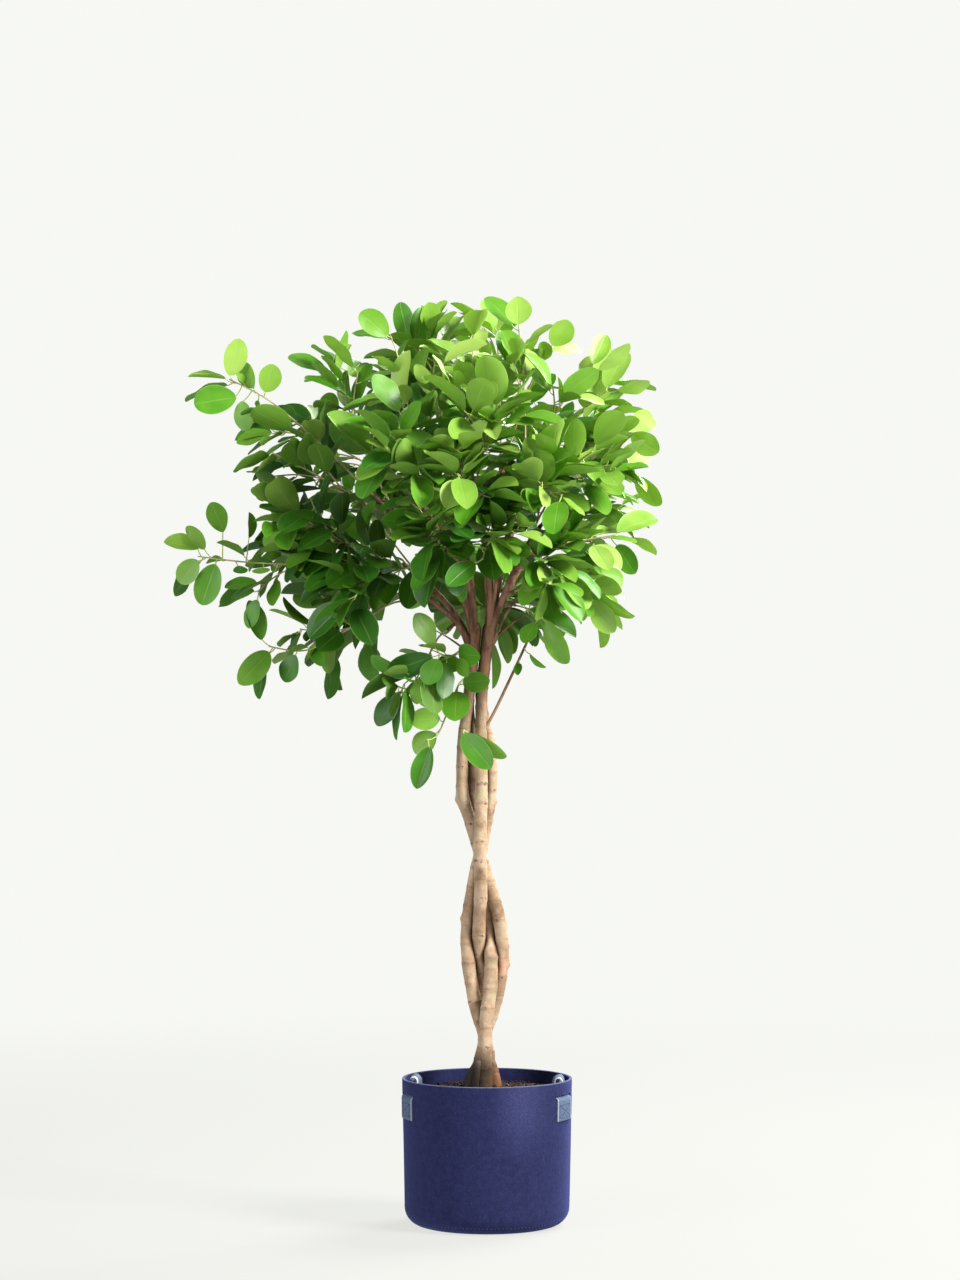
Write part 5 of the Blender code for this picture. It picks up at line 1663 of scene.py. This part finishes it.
# %% One leafy branch
def make_leafy_branch(branch, number):
    """Make one leafy branch of the crown."""
    rng = random.Random(EXTRA_SEED * 2000 + number)
    cover, thin = twig_bark, TWIG_THIN
    if number in GREEN_BRANCHES:
        cover = stalk_green
    if number in OLD_BRANCHES:
        cover, thin = bark, OLD_TWIG_THIN
    rods = []
    for twig in branch["twigs"]:
        points, radii = smooth_line(*twig, 2.0 * POINT_STEP)
        rods.append((points, [radius * thin for radius in radii]))
    piece = curve_piece(f"leafy_{branch['name']}", rods, TWIG_RESOLUTION, cover)
    lines = []
    for leaf in branch["leaves"]:
        points = stalk_line(leaf)
        lines.append((points, taper(STALK_BASE_RADIUS, STALK_TIP_RADIUS, len(points))))
    parts = [curve_piece("stalks", lines, STALK_RESOLUTION, stalk_green)]
    for leaf in branch["leaves"]:
        parts.append(place_leaf(rng.choice(leaf_forms), leaf, leaf_tone_and_light(leaf, rng)))
    join(piece, parts)
    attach(piece, "root")
    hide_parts(branch["name"])
    return piece


crown = [make_leafy_branch(branch, number) for number, branch in enumerate(branches, start=1)]
for form in leaf_forms:
    bpy.data.objects.remove(form)
print("crown:", len(crown), "branches,", sum(len(p.data.polygons) for p in crown), "faces")

# %% [markdown]
# Potting soil is dark, loose and never flat: it is mounded where the roots lift it and sinks at the
# wall. A flat disc with a rough finish would show at the rim. So the filling is a cylinder whose
# top is inset ring by ring, heaved by noise, and strewn with crumbs and a few paler bits of bark.

# %% Soil finish
SOIL_BROWNS = (
    (0.32, (0.008, 0.005, 0.004)),
    (0.52, (0.030, 0.016, 0.010)),
    (0.66, (0.068, 0.036, 0.021)),
    (0.78, (0.13, 0.075, 0.044)),
)
CHIP_BROWNS = (
    (0.3, (0.045, 0.024, 0.014)),
    (0.7, (0.16, 0.095, 0.055)),
)


def soil_material():
    """Make dark, damp potting soil."""
    made, tree, shader, place = new_material("dark_soil")
    colour = ramp(tree, noise(tree, place, 150.0, 5.0, 0.7), *SOIL_BROWNS)
    damp = span(tree, noise(tree, place, 14.0, 2.0), 0.42, 0.62, 0.65, 0.0)
    colour = mix(tree, damp, colour, (0.013, 0.009, 0.006))
    relief = noise(tree, place, 330.0, 5.0, 0.7)
    finish(tree, shader, colour, 0.95, 0.12, bump(tree, relief, 1.4 * MM, 1.0))
    return made


def chip_material():
    """Make the paler bits of bark in the soil."""
    made, tree, shader, place = new_material("bark_chip")
    finish(tree, shader, ramp(tree, noise(tree, place, 90.0, 3.0), *CHIP_BROWNS), 0.9)
    return made


# %% [markdown]
# The bag's sizes are needed before the soil that fills it: a round wall that widens a little to the
# rim, and a soft round corner at its foot.

# %% Sizes of the bag and its filling
RIM_RADIUS = 120.0 * MM
BASE_RADIUS = 116.5 * MM
BAG_HEIGHT = 207.0 * MM
FELT = 4.0 * MM
CORNER_RADIUS = 25.0 * MM
SOIL_EDGE_HEIGHT = 186.0 * MM
SOIL_MIDDLE_HEIGHT = 193.5 * MM
SOIL_SIDES = 88
SOIL_RINGS = 17
SOIL_CORNER_SEGMENTS = 4
SOIL_SEED = 12
SOIL_HEAVE = 3.2 * MM
SOIL_LUMPS = ((42.0, 1.0, 2.0), (120.0, 0.55, 5.0), (300.0, 0.30, 9.0))
CRUMBS = 420
CRUMB_SIZE = (0.9 * MM, 2.6 * MM)
CHIPS = 46
CHIP_SIZE = (1.2 * MM, 3.4 * MM)
ROOT_MOUND = 3.5 * MM
ROOT_MOUND_REACH = 46.0 * MM


def bag_radius(height):
    """Give the bag's outer radius at a height on its straight wall."""
    share = (height - CORNER_RADIUS) / (BAG_HEIGHT - CORNER_RADIUS)
    return BASE_RADIUS + (RIM_RADIUS - BASE_RADIUS) * share


def soil_height(x, y):
    """Give the height of the soil's surface at a place."""
    edge = bag_radius(SOIL_EDGE_HEIGHT) - FELT - TOUCH_GAP
    share = min(1.0, math.hypot(x, y) / edge)
    plain = SOIL_MIDDLE_HEIGHT - (SOIL_MIDDLE_HEIGHT - SOIL_EDGE_HEIGHT) * share ** 3
    rough = 0.0
    for waves, size, layer in SOIL_LUMPS:
        rough += size * vector_noise.noise(Vector((x * waves, y * waves, layer)))
    mound = ROOT_MOUND * bell(math.hypot(x + 6.0 * MM, y), ROOT_MOUND_REACH)
    return plain + mound + SOIL_HEAVE * rough * (1.0 - 0.6 * share ** 6)


# %% Selecting parts of a mesh
def select_where(mesh, parts, wanted):
    """Select just those faces or edges of a mesh that pass a test, in object mode."""
    for kind in (mesh.vertices, mesh.edges, mesh.polygons):
        kind.foreach_set("select", [False] * len(kind))
    for part in parts:
        part.select = wanted(part)


def select_top(mesh):
    """Select just the faces that look up."""
    select_where(mesh, mesh.polygons, lambda face: face.normal.z > 0.9)


def select_edges(mesh, wanted):
    """Select just the edges whose two ends pass a test."""
    points = mesh.vertices
    select_where(mesh, mesh.edges, lambda edge: all(wanted(points[i].co) for i in edge.vertices))


# %% Round bodies with a soft corner
def make_drum(name, sides, radius, low, high):
    """Add a closed cylinder that stands between two heights."""
    deselect()
    bpy.ops.mesh.primitive_cylinder_add(vertices=sides, radius=radius, depth=high - low,
                                        location=(0.0, 0.0, low + 0.5 * (high - low)))
    drum = bpy.context.object
    drum.name = name
    bpy.ops.object.transform_apply(location=True, rotation=True, scale=True)
    return drum


def round_foot(drum, low, share, corner, segments):
    """Draw a cylinder's foot in to a share of its width, and round its corner."""
    select_edges(drum.data, lambda point: point.z < low + MM)
    bpy.ops.object.mode_set(mode="EDIT")
    bpy.ops.transform.resize(value=(share, share, 1.0), center_override=(0.0, 0.0, low))
    bpy.ops.mesh.bevel(offset=corner, segments=segments, affect="EDGES")
    bpy.ops.object.mode_set(mode="OBJECT")


# %% Crumbs and chips
def strewn(name, count, sizes, flatness, rng, material):
    """Strew small lumps over the soil, half sunk into it."""
    lumps = []
    deselect()
    bpy.ops.mesh.primitive_ico_sphere_add(subdivisions=1, radius=1.0)
    model = bpy.context.object
    reach = bag_radius(SOIL_EDGE_HEIGHT) - FELT - 4.0 * MM
    for _ in range(count):
        away = reach * math.sqrt(rng.random())
        turn = rng.uniform(0.0, math.tau)
        x, y = away * math.cos(turn), away * math.sin(turn)
        size = rng.uniform(*sizes)
        lump = copy_of(model, material)
        shape = Matrix.Diagonal((size * rng.uniform(0.7, 1.5), size, size * flatness, 1.0))
        spin = Matrix.Rotation(rng.uniform(0.0, math.tau), 4, random_way(rng))
        spot = Matrix.Translation((x, y, soil_height(x, y) + 0.2 * size))
        lump.data.transform(spot @ spin @ shape)
        lumps.append(lump)
    bpy.data.objects.remove(model)
    print(name, len(lumps))
    return lumps


# %% Soil
def make_soil():
    """Make the soil that fills the bag."""
    rng = random.Random(SOIL_SEED)
    edge = bag_radius(SOIL_EDGE_HEIGHT) - FELT - TOUCH_GAP
    low = FELT + TOUCH_GAP
    soil = make_drum("potting_soil", SOIL_SIDES, edge, low, SOIL_EDGE_HEIGHT)
    foot = (BASE_RADIUS - FELT - TOUCH_GAP) / edge
    round_foot(soil, low, foot, CORNER_RADIUS - FELT, SOIL_CORNER_SEGMENTS)
    select_top(soil.data)
    bpy.ops.object.mode_set(mode="EDIT")
    for _ in range(SOIL_RINGS - 1):
        bpy.ops.mesh.inset(thickness=edge / SOIL_RINGS, use_even_offset=False)
    bpy.ops.mesh.poke()
    bpy.ops.object.mode_set(mode="OBJECT")
    for vertex in soil.data.vertices:
        if vertex.co.z > SOIL_EDGE_HEIGHT - MM:
            vertex.co.z = soil_height(vertex.co.x, vertex.co.y)
    bpy.ops.object.shade_smooth_by_angle(angle=math.radians(70.0))
    earth = soil_material()
    soil.data.materials.append(earth)
    lumps = strewn("crumbs", CRUMBS, CRUMB_SIZE, 0.8, rng, earth)
    lumps += strewn("bark chips", CHIPS, CHIP_SIZE, 0.4, rng, chip_material())
    join(soil, lumps)
    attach(soil, "root")
    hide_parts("soil")
    return soil


soil = make_soil()
print("soil top:", round(max(v.co.z for v in soil.data.vertices) / MM, 1), "mm")

# %% [markdown]
# The bag is pressed felt: fibres in two blues, with a few pale ones, matted so that no weave shows.
# Its look is half colour and half shape of the light, since the fuzz of fibres catches light at the
# edges, which is what the shader's sheen is for. The cut edge along the rim shows paler fibre
# ends, and in front, right of the middle, a paler band is a painted highlight where the light falls.

# %% Felt
# Where the painted highlight lies on the front of the wall
HIGHLIGHT_MIDDLE = 47.0 * MM
HIGHLIGHT_REACH = 50.0 * MM
HIGHLIGHT_FRONT = -50.0 * MM
HIGHLIGHT_HEIGHTS = (90.0 * MM, 180.0 * MM)


def felt_material(name, deep, soft, pale):
    """Make matted felt of deep and soft fibres, with a few pale ones and a painted highlight band."""
    made, tree, shader, place = new_material(name)
    cloud = noise(tree, place, 120.0, 5.0, 0.7)
    fibre = noise(tree, place, 700.0, 3.0, 0.75)
    where = add(tree, "SeparateXYZ", Vector=place)
    away = away_from(tree, where.outputs["X"], HIGHLIGHT_MIDDLE)
    # Painted highlight: a soft paler band on the front of the wall, right of the middle, in its upper
    # part.
    painted_highlight = times(tree, span(tree, away, HIGHLIGHT_REACH, 0.0),
                    span(tree, where.outputs["Z"], *HIGHLIGHT_HEIGHTS),
                    span(tree, where.outputs["Y"], 0.0, HIGHLIGHT_FRONT),
                    span(tree, fibre, 0.38, 0.62, 0.18, 0.42))
    colour = mix(tree, span(tree, cloud, 0.22, 0.78), deep, soft)
    colour = mix(tree, painted_highlight, colour, (0.075, 0.080, 0.215))
    colour = stain(tree, colour, fibre, (0.60, 0.74), 0.6, pale)
    colour = stain(tree, colour, fibre, (0.42, 0.30), 0.5, [channel * 0.45 for channel in deep])
    relief = maths(tree, "MULTIPLY_ADD", cloud, 0.8, fibre)
    finish(tree, shader, colour, 0.92, 0.15, bump(tree, relief, 0.35 * MM, 0.7))
    shader.inputs["Sheen Weight"].default_value = 0.22
    shader.inputs["Sheen Roughness"].default_value = 0.42
    shader.inputs["Sheen Tint"].default_value = (0.22, 0.30, 1.0, 1.0)
    return made


felt = felt_material("navy_felt", (0.0098, 0.0120, 0.049), (0.0178, 0.0212, 0.080), (0.10, 0.12, 0.30))
felt_cut = felt_material("felt_cut_edge", (0.055, 0.055, 0.115), (0.11, 0.11, 0.18), (0.34, 0.34, 0.42))


def thread_material(name, colour):
    """Make sewing thread."""
    made, tree, shader, place = new_material(name)
    finish(tree, shader, colour, 0.6, normal=bump(tree, noise(tree, place, 1500.0), 0.1 * MM))
    return made


felt_thread = thread_material("blue_thread", (0.06, 0.065, 0.17))
strap_thread = thread_material("navy_thread", (0.016, 0.020, 0.060))
print("made", felt.name, felt_cut.name, felt_thread.name, strap_thread.name)

# %% [markdown]
# A stitch is a short run of thread that dips into the cloth at both ends. One is modelled from a
# sphere, drawn out, and its copies are laid end to end along a seam with a gap between them.

# %% Stitches
STITCH_RADIUS = 0.42 * MM


def make_stitch(length):
    """Model one stitch along X, with its outside towards +Z."""
    deselect()
    bpy.ops.mesh.primitive_uv_sphere_add(segments=8, ring_count=6, radius=STITCH_RADIUS,
                                         rotation=(0.0, math.radians(90.0), 0.0))
    bpy.ops.object.transform_apply(location=True, rotation=True, scale=True)
    stitch = bpy.context.object
    stitch.data.transform(Matrix.Diagonal((0.5 * length / STITCH_RADIUS, 1.0, 0.8, 1.0)))
    bpy.ops.object.shade_smooth()
    return stitch


def lay_stitches(stitch, spots, material):
    """Lay copies of a stitch. Each spot is (point, direction, outward)."""
    laid = []
    for point, along, outward in spots:
        along = along.normalized()
        side = outward.cross(along).normalized()
        turn = Matrix((along, side, along.cross(side))).transposed().to_4x4()
        made = copy_of(stitch, material)
        made.data.transform(Matrix.Translation(point) @ turn)
        laid.append(made)
    return laid


# %% [markdown]
# The bag starts as a cylinder. Its top is opened, its foot is drawn in and rounded with a bevel,
# and level cuts through the wall give the points that let the soft wall lean in and out a little.
# A wall of even thickness then comes from one modifier. The base is a round piece sewn in, so a
# groove with stitches runs round the corner.

# %% Felt bag
BAG_SIDES = 112
CORNER_SEGMENTS = 8
WALL_CUTS = (0.035, 0.060, 0.090, 0.115, 0.135, 0.150, 0.168, 0.181, 0.1893, 0.200)
WALL_WAVE = 0.48 * MM
STILL_HEIGHT = 0.150
CALM_REACH = 0.04
RISE_REACH = 0.03
RIM_ROUND = 0.9 * MM
SEAM_HEIGHT = 9.6 * MM
SEAM_HALF = 1.3 * MM
SEAM_DEPTH = 1.0 * MM
SEAM_STITCH = 3.6 * MM
SEAM_PITCH = 5.6 * MM
BAG_TURN = math.radians(3.1)
PATCH_ANGLE = math.radians(21.6)
SLIT_BOTTOM = 181.6 * MM
SLIT_HEIGHT = 7.2 * MM
SLIT_WIDTH = 47.0 * MM
SLIT_CUT = 5.0
LIP_BULGE = 1.3 * MM
LIP_HEIGHT = 0.1945
LIP_REACH = 5.5 * MM
LIP_ANGLE = math.radians(15.0)
HANDLE_MIDDLES = {"handle_right": -BAG_TURN, "handle_left": math.pi - BAG_TURN}
SLIT_ANGLES = [m + side * PATCH_ANGLE for m in HANDLE_MIDDLES.values() for side in (-1.0, 1.0)]


def polar(radius, angle, height):
    """Give a point from its radius, angle and height."""
    return Vector((radius * math.cos(angle), radius * math.sin(angle), height))


def wall_lean(angle, height):
    """Give how far the soft wall leans out at a place."""
    calm = held((STILL_HEIGHT - height) / CALM_REACH)
    rise = held((height - CORNER_RADIUS) / RISE_REACH)
    wave = math.sin(3.0 * angle + 0.8 + 9.0 * height) + 0.6 * math.sin(5.0 * angle - 21.0 * height)
    lean = WALL_WAVE * wave * rise * (0.15 + 0.85 * calm)
    for slit in SLIT_ANGLES:
        aside = math.remainder(angle - slit, math.tau) / LIP_ANGLE
        above = (height - LIP_HEIGHT) / LIP_REACH
        lean += LIP_BULGE * math.exp(-aside ** 4 - above ** 2)
    return lean


def cut_level(height):
    """Cut all round the bag at a height, in edit mode."""
    bpy.ops.mesh.select_all(action="SELECT")
    bpy.ops.mesh.bisect(plane_co=(0.0, 0.0, height), plane_no=(0.0, 0.0, 1.0))


def make_bag_shell():
    """Model the bag's open shell and give it its wall."""
    bag = make_drum("felt_bag", BAG_SIDES, RIM_RADIUS, 0.0, BAG_HEIGHT)
    select_top(bag.data)
    bpy.ops.object.mode_set(mode="EDIT")
    bpy.ops.mesh.delete(type="ONLY_FACE")
    bpy.ops.object.mode_set(mode="OBJECT")
    round_foot(bag, 0.0, bag_radius(0.0) / RIM_RADIUS, CORNER_RADIUS, CORNER_SEGMENTS)
    bpy.ops.object.mode_set(mode="EDIT")
    for height in (SEAM_HEIGHT - SEAM_HALF, SEAM_HEIGHT, SEAM_HEIGHT + SEAM_HALF) + WALL_CUTS:
        cut_level(height)
    bpy.ops.object.mode_set(mode="OBJECT")
    for vertex in bag.data.vertices:
        around = math.hypot(vertex.co.x, vertex.co.y)
        if vertex.co.z > CORNER_RADIUS + MM:
            lean = wall_lean(math.atan2(vertex.co.y, vertex.co.x), vertex.co.z)
            vertex.co.xy *= 1.0 + lean / around
        elif abs(vertex.co.z - SEAM_HEIGHT) < 0.1 * MM:
            vertex.co.xy *= 1.0 - SEAM_DEPTH / around
            vertex.co.z += 0.4 * SEAM_DEPTH
    wall = bag.modifiers.new("wall", "SOLIDIFY")
    wall.thickness = FELT
    wall.offset = -1.0
    bpy.ops.object.modifier_apply(modifier=wall.name)
    return bag


# %% Slits and rim
def open_slits(bag):
    """Cut the four slits that the straps pass through."""
    middle = bag_radius(SLIT_BOTTOM) - 0.5 * FELT
    height = SLIT_BOTTOM + 0.5 * SLIT_HEIGHT
    for number, angle in enumerate(SLIT_ANGLES):
        deselect()
        bpy.ops.mesh.primitive_cube_add(size=1.0, rotation=(0.0, 0.0, angle + 0.5 * math.pi),
                                        location=polar(middle, angle, height),
                                        scale=(SLIT_WIDTH, SLIT_CUT * FELT, SLIT_HEIGHT))
        cutter = bpy.context.object
        bpy.context.view_layer.objects.active = bag
        slit = bag.modifiers.new(f"slit_{number + 1}", "BOOLEAN")
        slit.operation = "DIFFERENCE"
        slit.object = cutter
        bpy.ops.object.modifier_apply(modifier=slit.name)
        bpy.data.objects.remove(cutter)


def finish_rim(bag):
    """Round the rim's two edges and give the cut between them its paler fibres."""
    deselect()
    bpy.context.view_layer.objects.active = bag
    select_edges(bag.data, lambda point: point.z > BAG_HEIGHT - 0.5 * MM)
    bpy.ops.object.mode_set(mode="EDIT")
    bpy.ops.mesh.bevel(offset=RIM_ROUND, segments=2, affect="EDGES")
    bpy.ops.object.mode_set(mode="OBJECT")
    bag.data.materials.append(felt)
    bag.data.materials.append(felt_cut)
    for face in bag.data.polygons:
        face.material_index = 1 if face.center.z > BAG_HEIGHT - 0.7 * MM else 0
    bpy.ops.object.shade_smooth_by_angle(angle=math.radians(50.0))


# %% Seam, and the whole bag
def seam_spots():
    """Give the places of the stitches round the foot of the bag."""
    drop = CORNER_RADIUS - SEAM_HEIGHT
    radius = BASE_RADIUS - CORNER_RADIUS + math.sqrt(CORNER_RADIUS ** 2 - drop ** 2) - 0.55 * SEAM_DEPTH
    spots = []
    count = round(math.tau * radius / SEAM_PITCH)
    for step in range(count):
        out = polar(1.0, math.tau * step / count, 0.0)
        along = Vector((-out.y, out.x, 0.0))
        point = out * radius + UP * (SEAM_HEIGHT + 0.2 * MM)
        spots.append((point, along, (out - UP * 0.6).normalized()))
    return spots


def make_bag():
    """Make the felt bag with its seam."""
    bag = make_bag_shell()
    open_slits(bag)
    finish_rim(bag)
    stitch = make_stitch(SEAM_STITCH)
    stitches = lay_stitches(stitch, seam_spots(), felt_thread)
    bpy.data.objects.remove(stitch)
    join(bag, stitches)
    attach(bag, "root")
    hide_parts("pot")
    print("seam stitches:", len(stitches))
    return bag


bag = make_bag()
print(bag.name, len(bag.data.polygons), "faces")

# %% [markdown]
# The handles are flat webbing, woven in narrow ribs. Each strap is sewn on outside with a box and a
# cross, passes through a slit under the rim, and stands inside as a folded loop. It is modelled as
# the strip that it is: a grid laid along the strap's route, so that the weave can follow the strip,
# and then given its thickness.

# %% Webbing finish
RIB_PITCH = 1.5 * MM
RIBS_ACROSS = 26.0
GRIP_HALF = 17.0 * MM
LOOP_FOOT = 50.0 * MM
WEBBING_BLUES = (
    (0.2, (0.030, 0.048, 0.095)),
    (0.55, (0.075, 0.112, 0.195)),
    (0.85, (0.15, 0.205, 0.30)),
)


def webbing_material(length):
    """Make grey-blue woven webbing. The strap's map runs along it and across it."""
    made, tree, shader, place = new_material("grey_blue_webbing")
    chart = add(tree, "UVMap", {"uv_map": "strap_map"}).outputs["UV"]
    parts = add(tree, "SeparateXYZ", Vector=chart)
    along = times(tree, parts.outputs["X"], length / RIB_PITCH * math.tau)
    across = times(tree, parts.outputs["Y"], RIBS_ACROSS * math.tau)
    slant = maths(tree, "SINE", maths(tree, "ADD", along, times(tree, across, 0.5)))
    warp = maths(tree, "SINE", across)
    weave = maths(tree, "ADD", times(tree, slant, 0.5), times(tree, warp, 0.5))
    worn = noise(tree, place, 160.0, 3.0)
    shade = maths(tree, "ADD", maths(tree, "MULTIPLY_ADD", weave, 0.17, 0.5),
                  maths(tree, "MULTIPLY_ADD", worn, 0.3, -0.15))
    colour = ramp(tree, shade, *WEBBING_BLUES)
    aside = times(tree, away_from(tree, parts.outputs["Y"], 0.5), 2.0)
    colour = mix(tree, times(tree, span(tree, aside, 0.90, 0.95), 0.7), colour, (0.40, 0.45, 0.53))
    away = times(tree, away_from(tree, parts.outputs["X"], 0.5), length)
    shaded = times(tree, span(tree, away, GRIP_HALF, GRIP_HALF + MM),
                   span(tree, away, LOOP_FOOT, LOOP_FOOT - 6.0 * MM))
    colour = mix(tree, times(tree, shaded, 0.8), colour, (0.020, 0.028, 0.060))
    # Painted highlight: a pale band near each end of the grip, where the folded loop turns over at its
    # top.
    painted_crest_highlight = times(tree, span(tree, away, GRIP_HALF - 3.6 * MM, GRIP_HALF - 3.0 * MM),
                 span(tree, away, GRIP_HALF, GRIP_HALF - 0.6 * MM))
    colour = mix(tree, painted_crest_highlight, colour, (0.70, 0.71, 0.74))
    finish(tree, shader, colour, 0.7, 0.25, bump(tree, weave, 0.22 * MM, 0.7))
    return made


# %% Route of a strap
STRAP_WIDTH = 44.0 * MM
STRAP_THICKNESS = 1.8 * MM
PATCH_BOTTOM = 153.0 * MM
PATCH_TOP = 180.0 * MM
LOOP_RADIUS = 8.0 * MM
LOOP_MIDDLE = 101.0 * MM
LOOP_TOP = 210.0 * MM
LOOP_RISE = 12.0 * MM
LOOP_REACH = 24.0 * MM
STRAP_ACROSS = 12
LOOP_SHARES = (0.12, 0.24, 0.35, 0.46, 0.57, 0.68, 0.79, 0.9, 1.0)
PATCH_ROWS = 7

# How far inside the wall the strap lies in its slit, and at what height, in mm
SLIT_ROUTE = ((-0.9, 182.9), (1.5, 185.2), (4.2, 187.2), (5.7, 189.2), (5.9, 196.0))


def strap_stations():
    """Give the strap's (radius, height) from the patch's foot, through the slit, to the inside."""
    wall = bag_radius(SLIT_BOTTOM)
    seat = 0.5 * STRAP_THICKNESS + TOUCH_GAP
    stations = []
    for row in range(PATCH_ROWS):
        height = PATCH_BOTTOM + (PATCH_TOP - PATCH_BOTTOM) * row / (PATCH_ROWS - 1)
        stations.append((bag_radius(height) + seat, height))
    return stations + [(wall - inward * MM, height * MM) for inward, height in SLIT_ROUTE]


def loop_point(middle, offset):
    """Give a point of the folded grip at the loop's middle, offset across the strap."""
    quarter = 0.5 * math.pi * LOOP_RADIUS
    bend = max(-quarter, min(quarter, offset)) / LOOP_RADIUS
    leg = max(0.0, abs(offset) - quarter)
    radius = LOOP_MIDDLE - LOOP_RADIUS * math.sin(bend)
    height = LOOP_TOP - LOOP_RADIUS * (1.0 - math.cos(bend)) - leg
    return polar(radius, middle, height)


def strap_row(middle, side, offset):
    """Give one lengthwise line of half a strap, from its patch to the loop's middle."""
    row = []
    for radius, height in strap_stations():
        angle = middle + side * (PATCH_ANGLE - offset / bag_radius(PATCH_TOP))
        row.append(polar(radius, angle, height))
    end = loop_point(middle, offset)
    start = row[-1]
    leave = start + UP * LOOP_RISE
    arrive = end - polar(1.0, middle - side * 0.5 * math.pi, 0.0) * LOOP_REACH
    return row + [bezier(start, leave, arrive, end, share) for share in LOOP_SHARES]


# %% Stitched patches
BOX_INSET = 4.6 * MM
STRAP_EDGE = 0.5 * MM
STRAP_STITCH = 2.5 * MM
STRAP_PITCH = 3.3 * MM


def patch_spots(middle, side):
    """Give the stitches of one patch: a box and a cross."""
    half = 0.5 * STRAP_WIDTH - BOX_INSET
    low, high = PATCH_BOTTOM + BOX_INSET, PATCH_TOP - BOX_INSET
    corners = [(-half, low), (half, low), (half, high), (-half, high)]
    seams = [(0, 1), (1, 2), (2, 3), (3, 0), (0, 2), (1, 3)]
    lift = STRAP_THICKNESS + TOUCH_GAP + 0.1 * MM

    def spot(offset, height):
        angle = middle + side * (PATCH_ANGLE - offset / bag_radius(PATCH_TOP))
        return polar(bag_radius(height) + lift, angle, height)

    spots = []
    for first, second in seams:
        a, b = Vector(corners[first]), Vector(corners[second])
        count = round((b - a).length / STRAP_PITCH)
        for step in range(count):
            here, there = a.lerp(b, step / count), a.lerp(b, (step + 1) / count)
            start, end = spot(*here), spot(*there)
            centre = (start + end) * 0.5
            spots.append((centre, end - start, Vector((centre.x, centre.y, 0.0)).normalized()))
    return spots


# %% One strap
def make_strap(node, middle, webbing):
    """Make one strap with the stitching of its two patches."""
    halves = []
    for step in range(STRAP_ACROSS + 1):
        offset = STRAP_WIDTH * (step / STRAP_ACROSS - 0.5)
        first, second = (strap_row(middle, side, offset) for side in (-1.0, 1.0))
        halves.append(first + second[-2::-1])
    length = len(halves[0])
    deselect()
    bpy.ops.mesh.primitive_grid_add(x_subdivisions=length - 1, y_subdivisions=STRAP_ACROSS, size=1.0)
    strap = bpy.context.object
    strap.name = node.replace("handle", "strap")
    strap.data.uv_layers.active.name = "strap_map"
    for vertex in strap.data.vertices:
        along = round((vertex.co.x + 0.5) * (length - 1))
        across = round((vertex.co.y + 0.5) * STRAP_ACROSS)
        vertex.co = halves[across][along]
    thick = strap.modifiers.new("thickness", "SOLIDIFY")
    thick.thickness = STRAP_THICKNESS
    thick.offset = 0.0
    bpy.ops.object.modifier_apply(modifier=thick.name)
    edge = strap.modifiers.new("soft_edge", "BEVEL")
    edge.width = STRAP_EDGE
    edge.segments = 2
    edge.limit_method = "ANGLE"
    edge.angle_limit = math.radians(50.0)
    bpy.ops.object.modifier_apply(modifier=edge.name)
    bpy.ops.object.shade_smooth_by_angle(angle=math.radians(60.0))
    strap.data.materials.append(webbing)
    stitch = make_stitch(STRAP_STITCH)
    stitches = []
    for side in (-1.0, 1.0):
        stitches += lay_stitches(stitch, patch_spots(middle, side), strap_thread)
    bpy.data.objects.remove(stitch)
    join(strap, stitches)
    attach(strap, "root")
    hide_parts(node)
    return strap


route = strap_row(HANDLE_MIDDLES["handle_right"], 1.0, 0.0)
strap_length = 2.0 * sum((b - a).length for a, b in zip(route, route[1:]))
webbing = webbing_material(strap_length)
for node, middle in HANDLE_MIDDLES.items():
    strap = make_strap(node, middle, webbing)
    print(strap.name, len(strap.data.polygons), "faces, strap length", round(strap_length / MM), "mm")
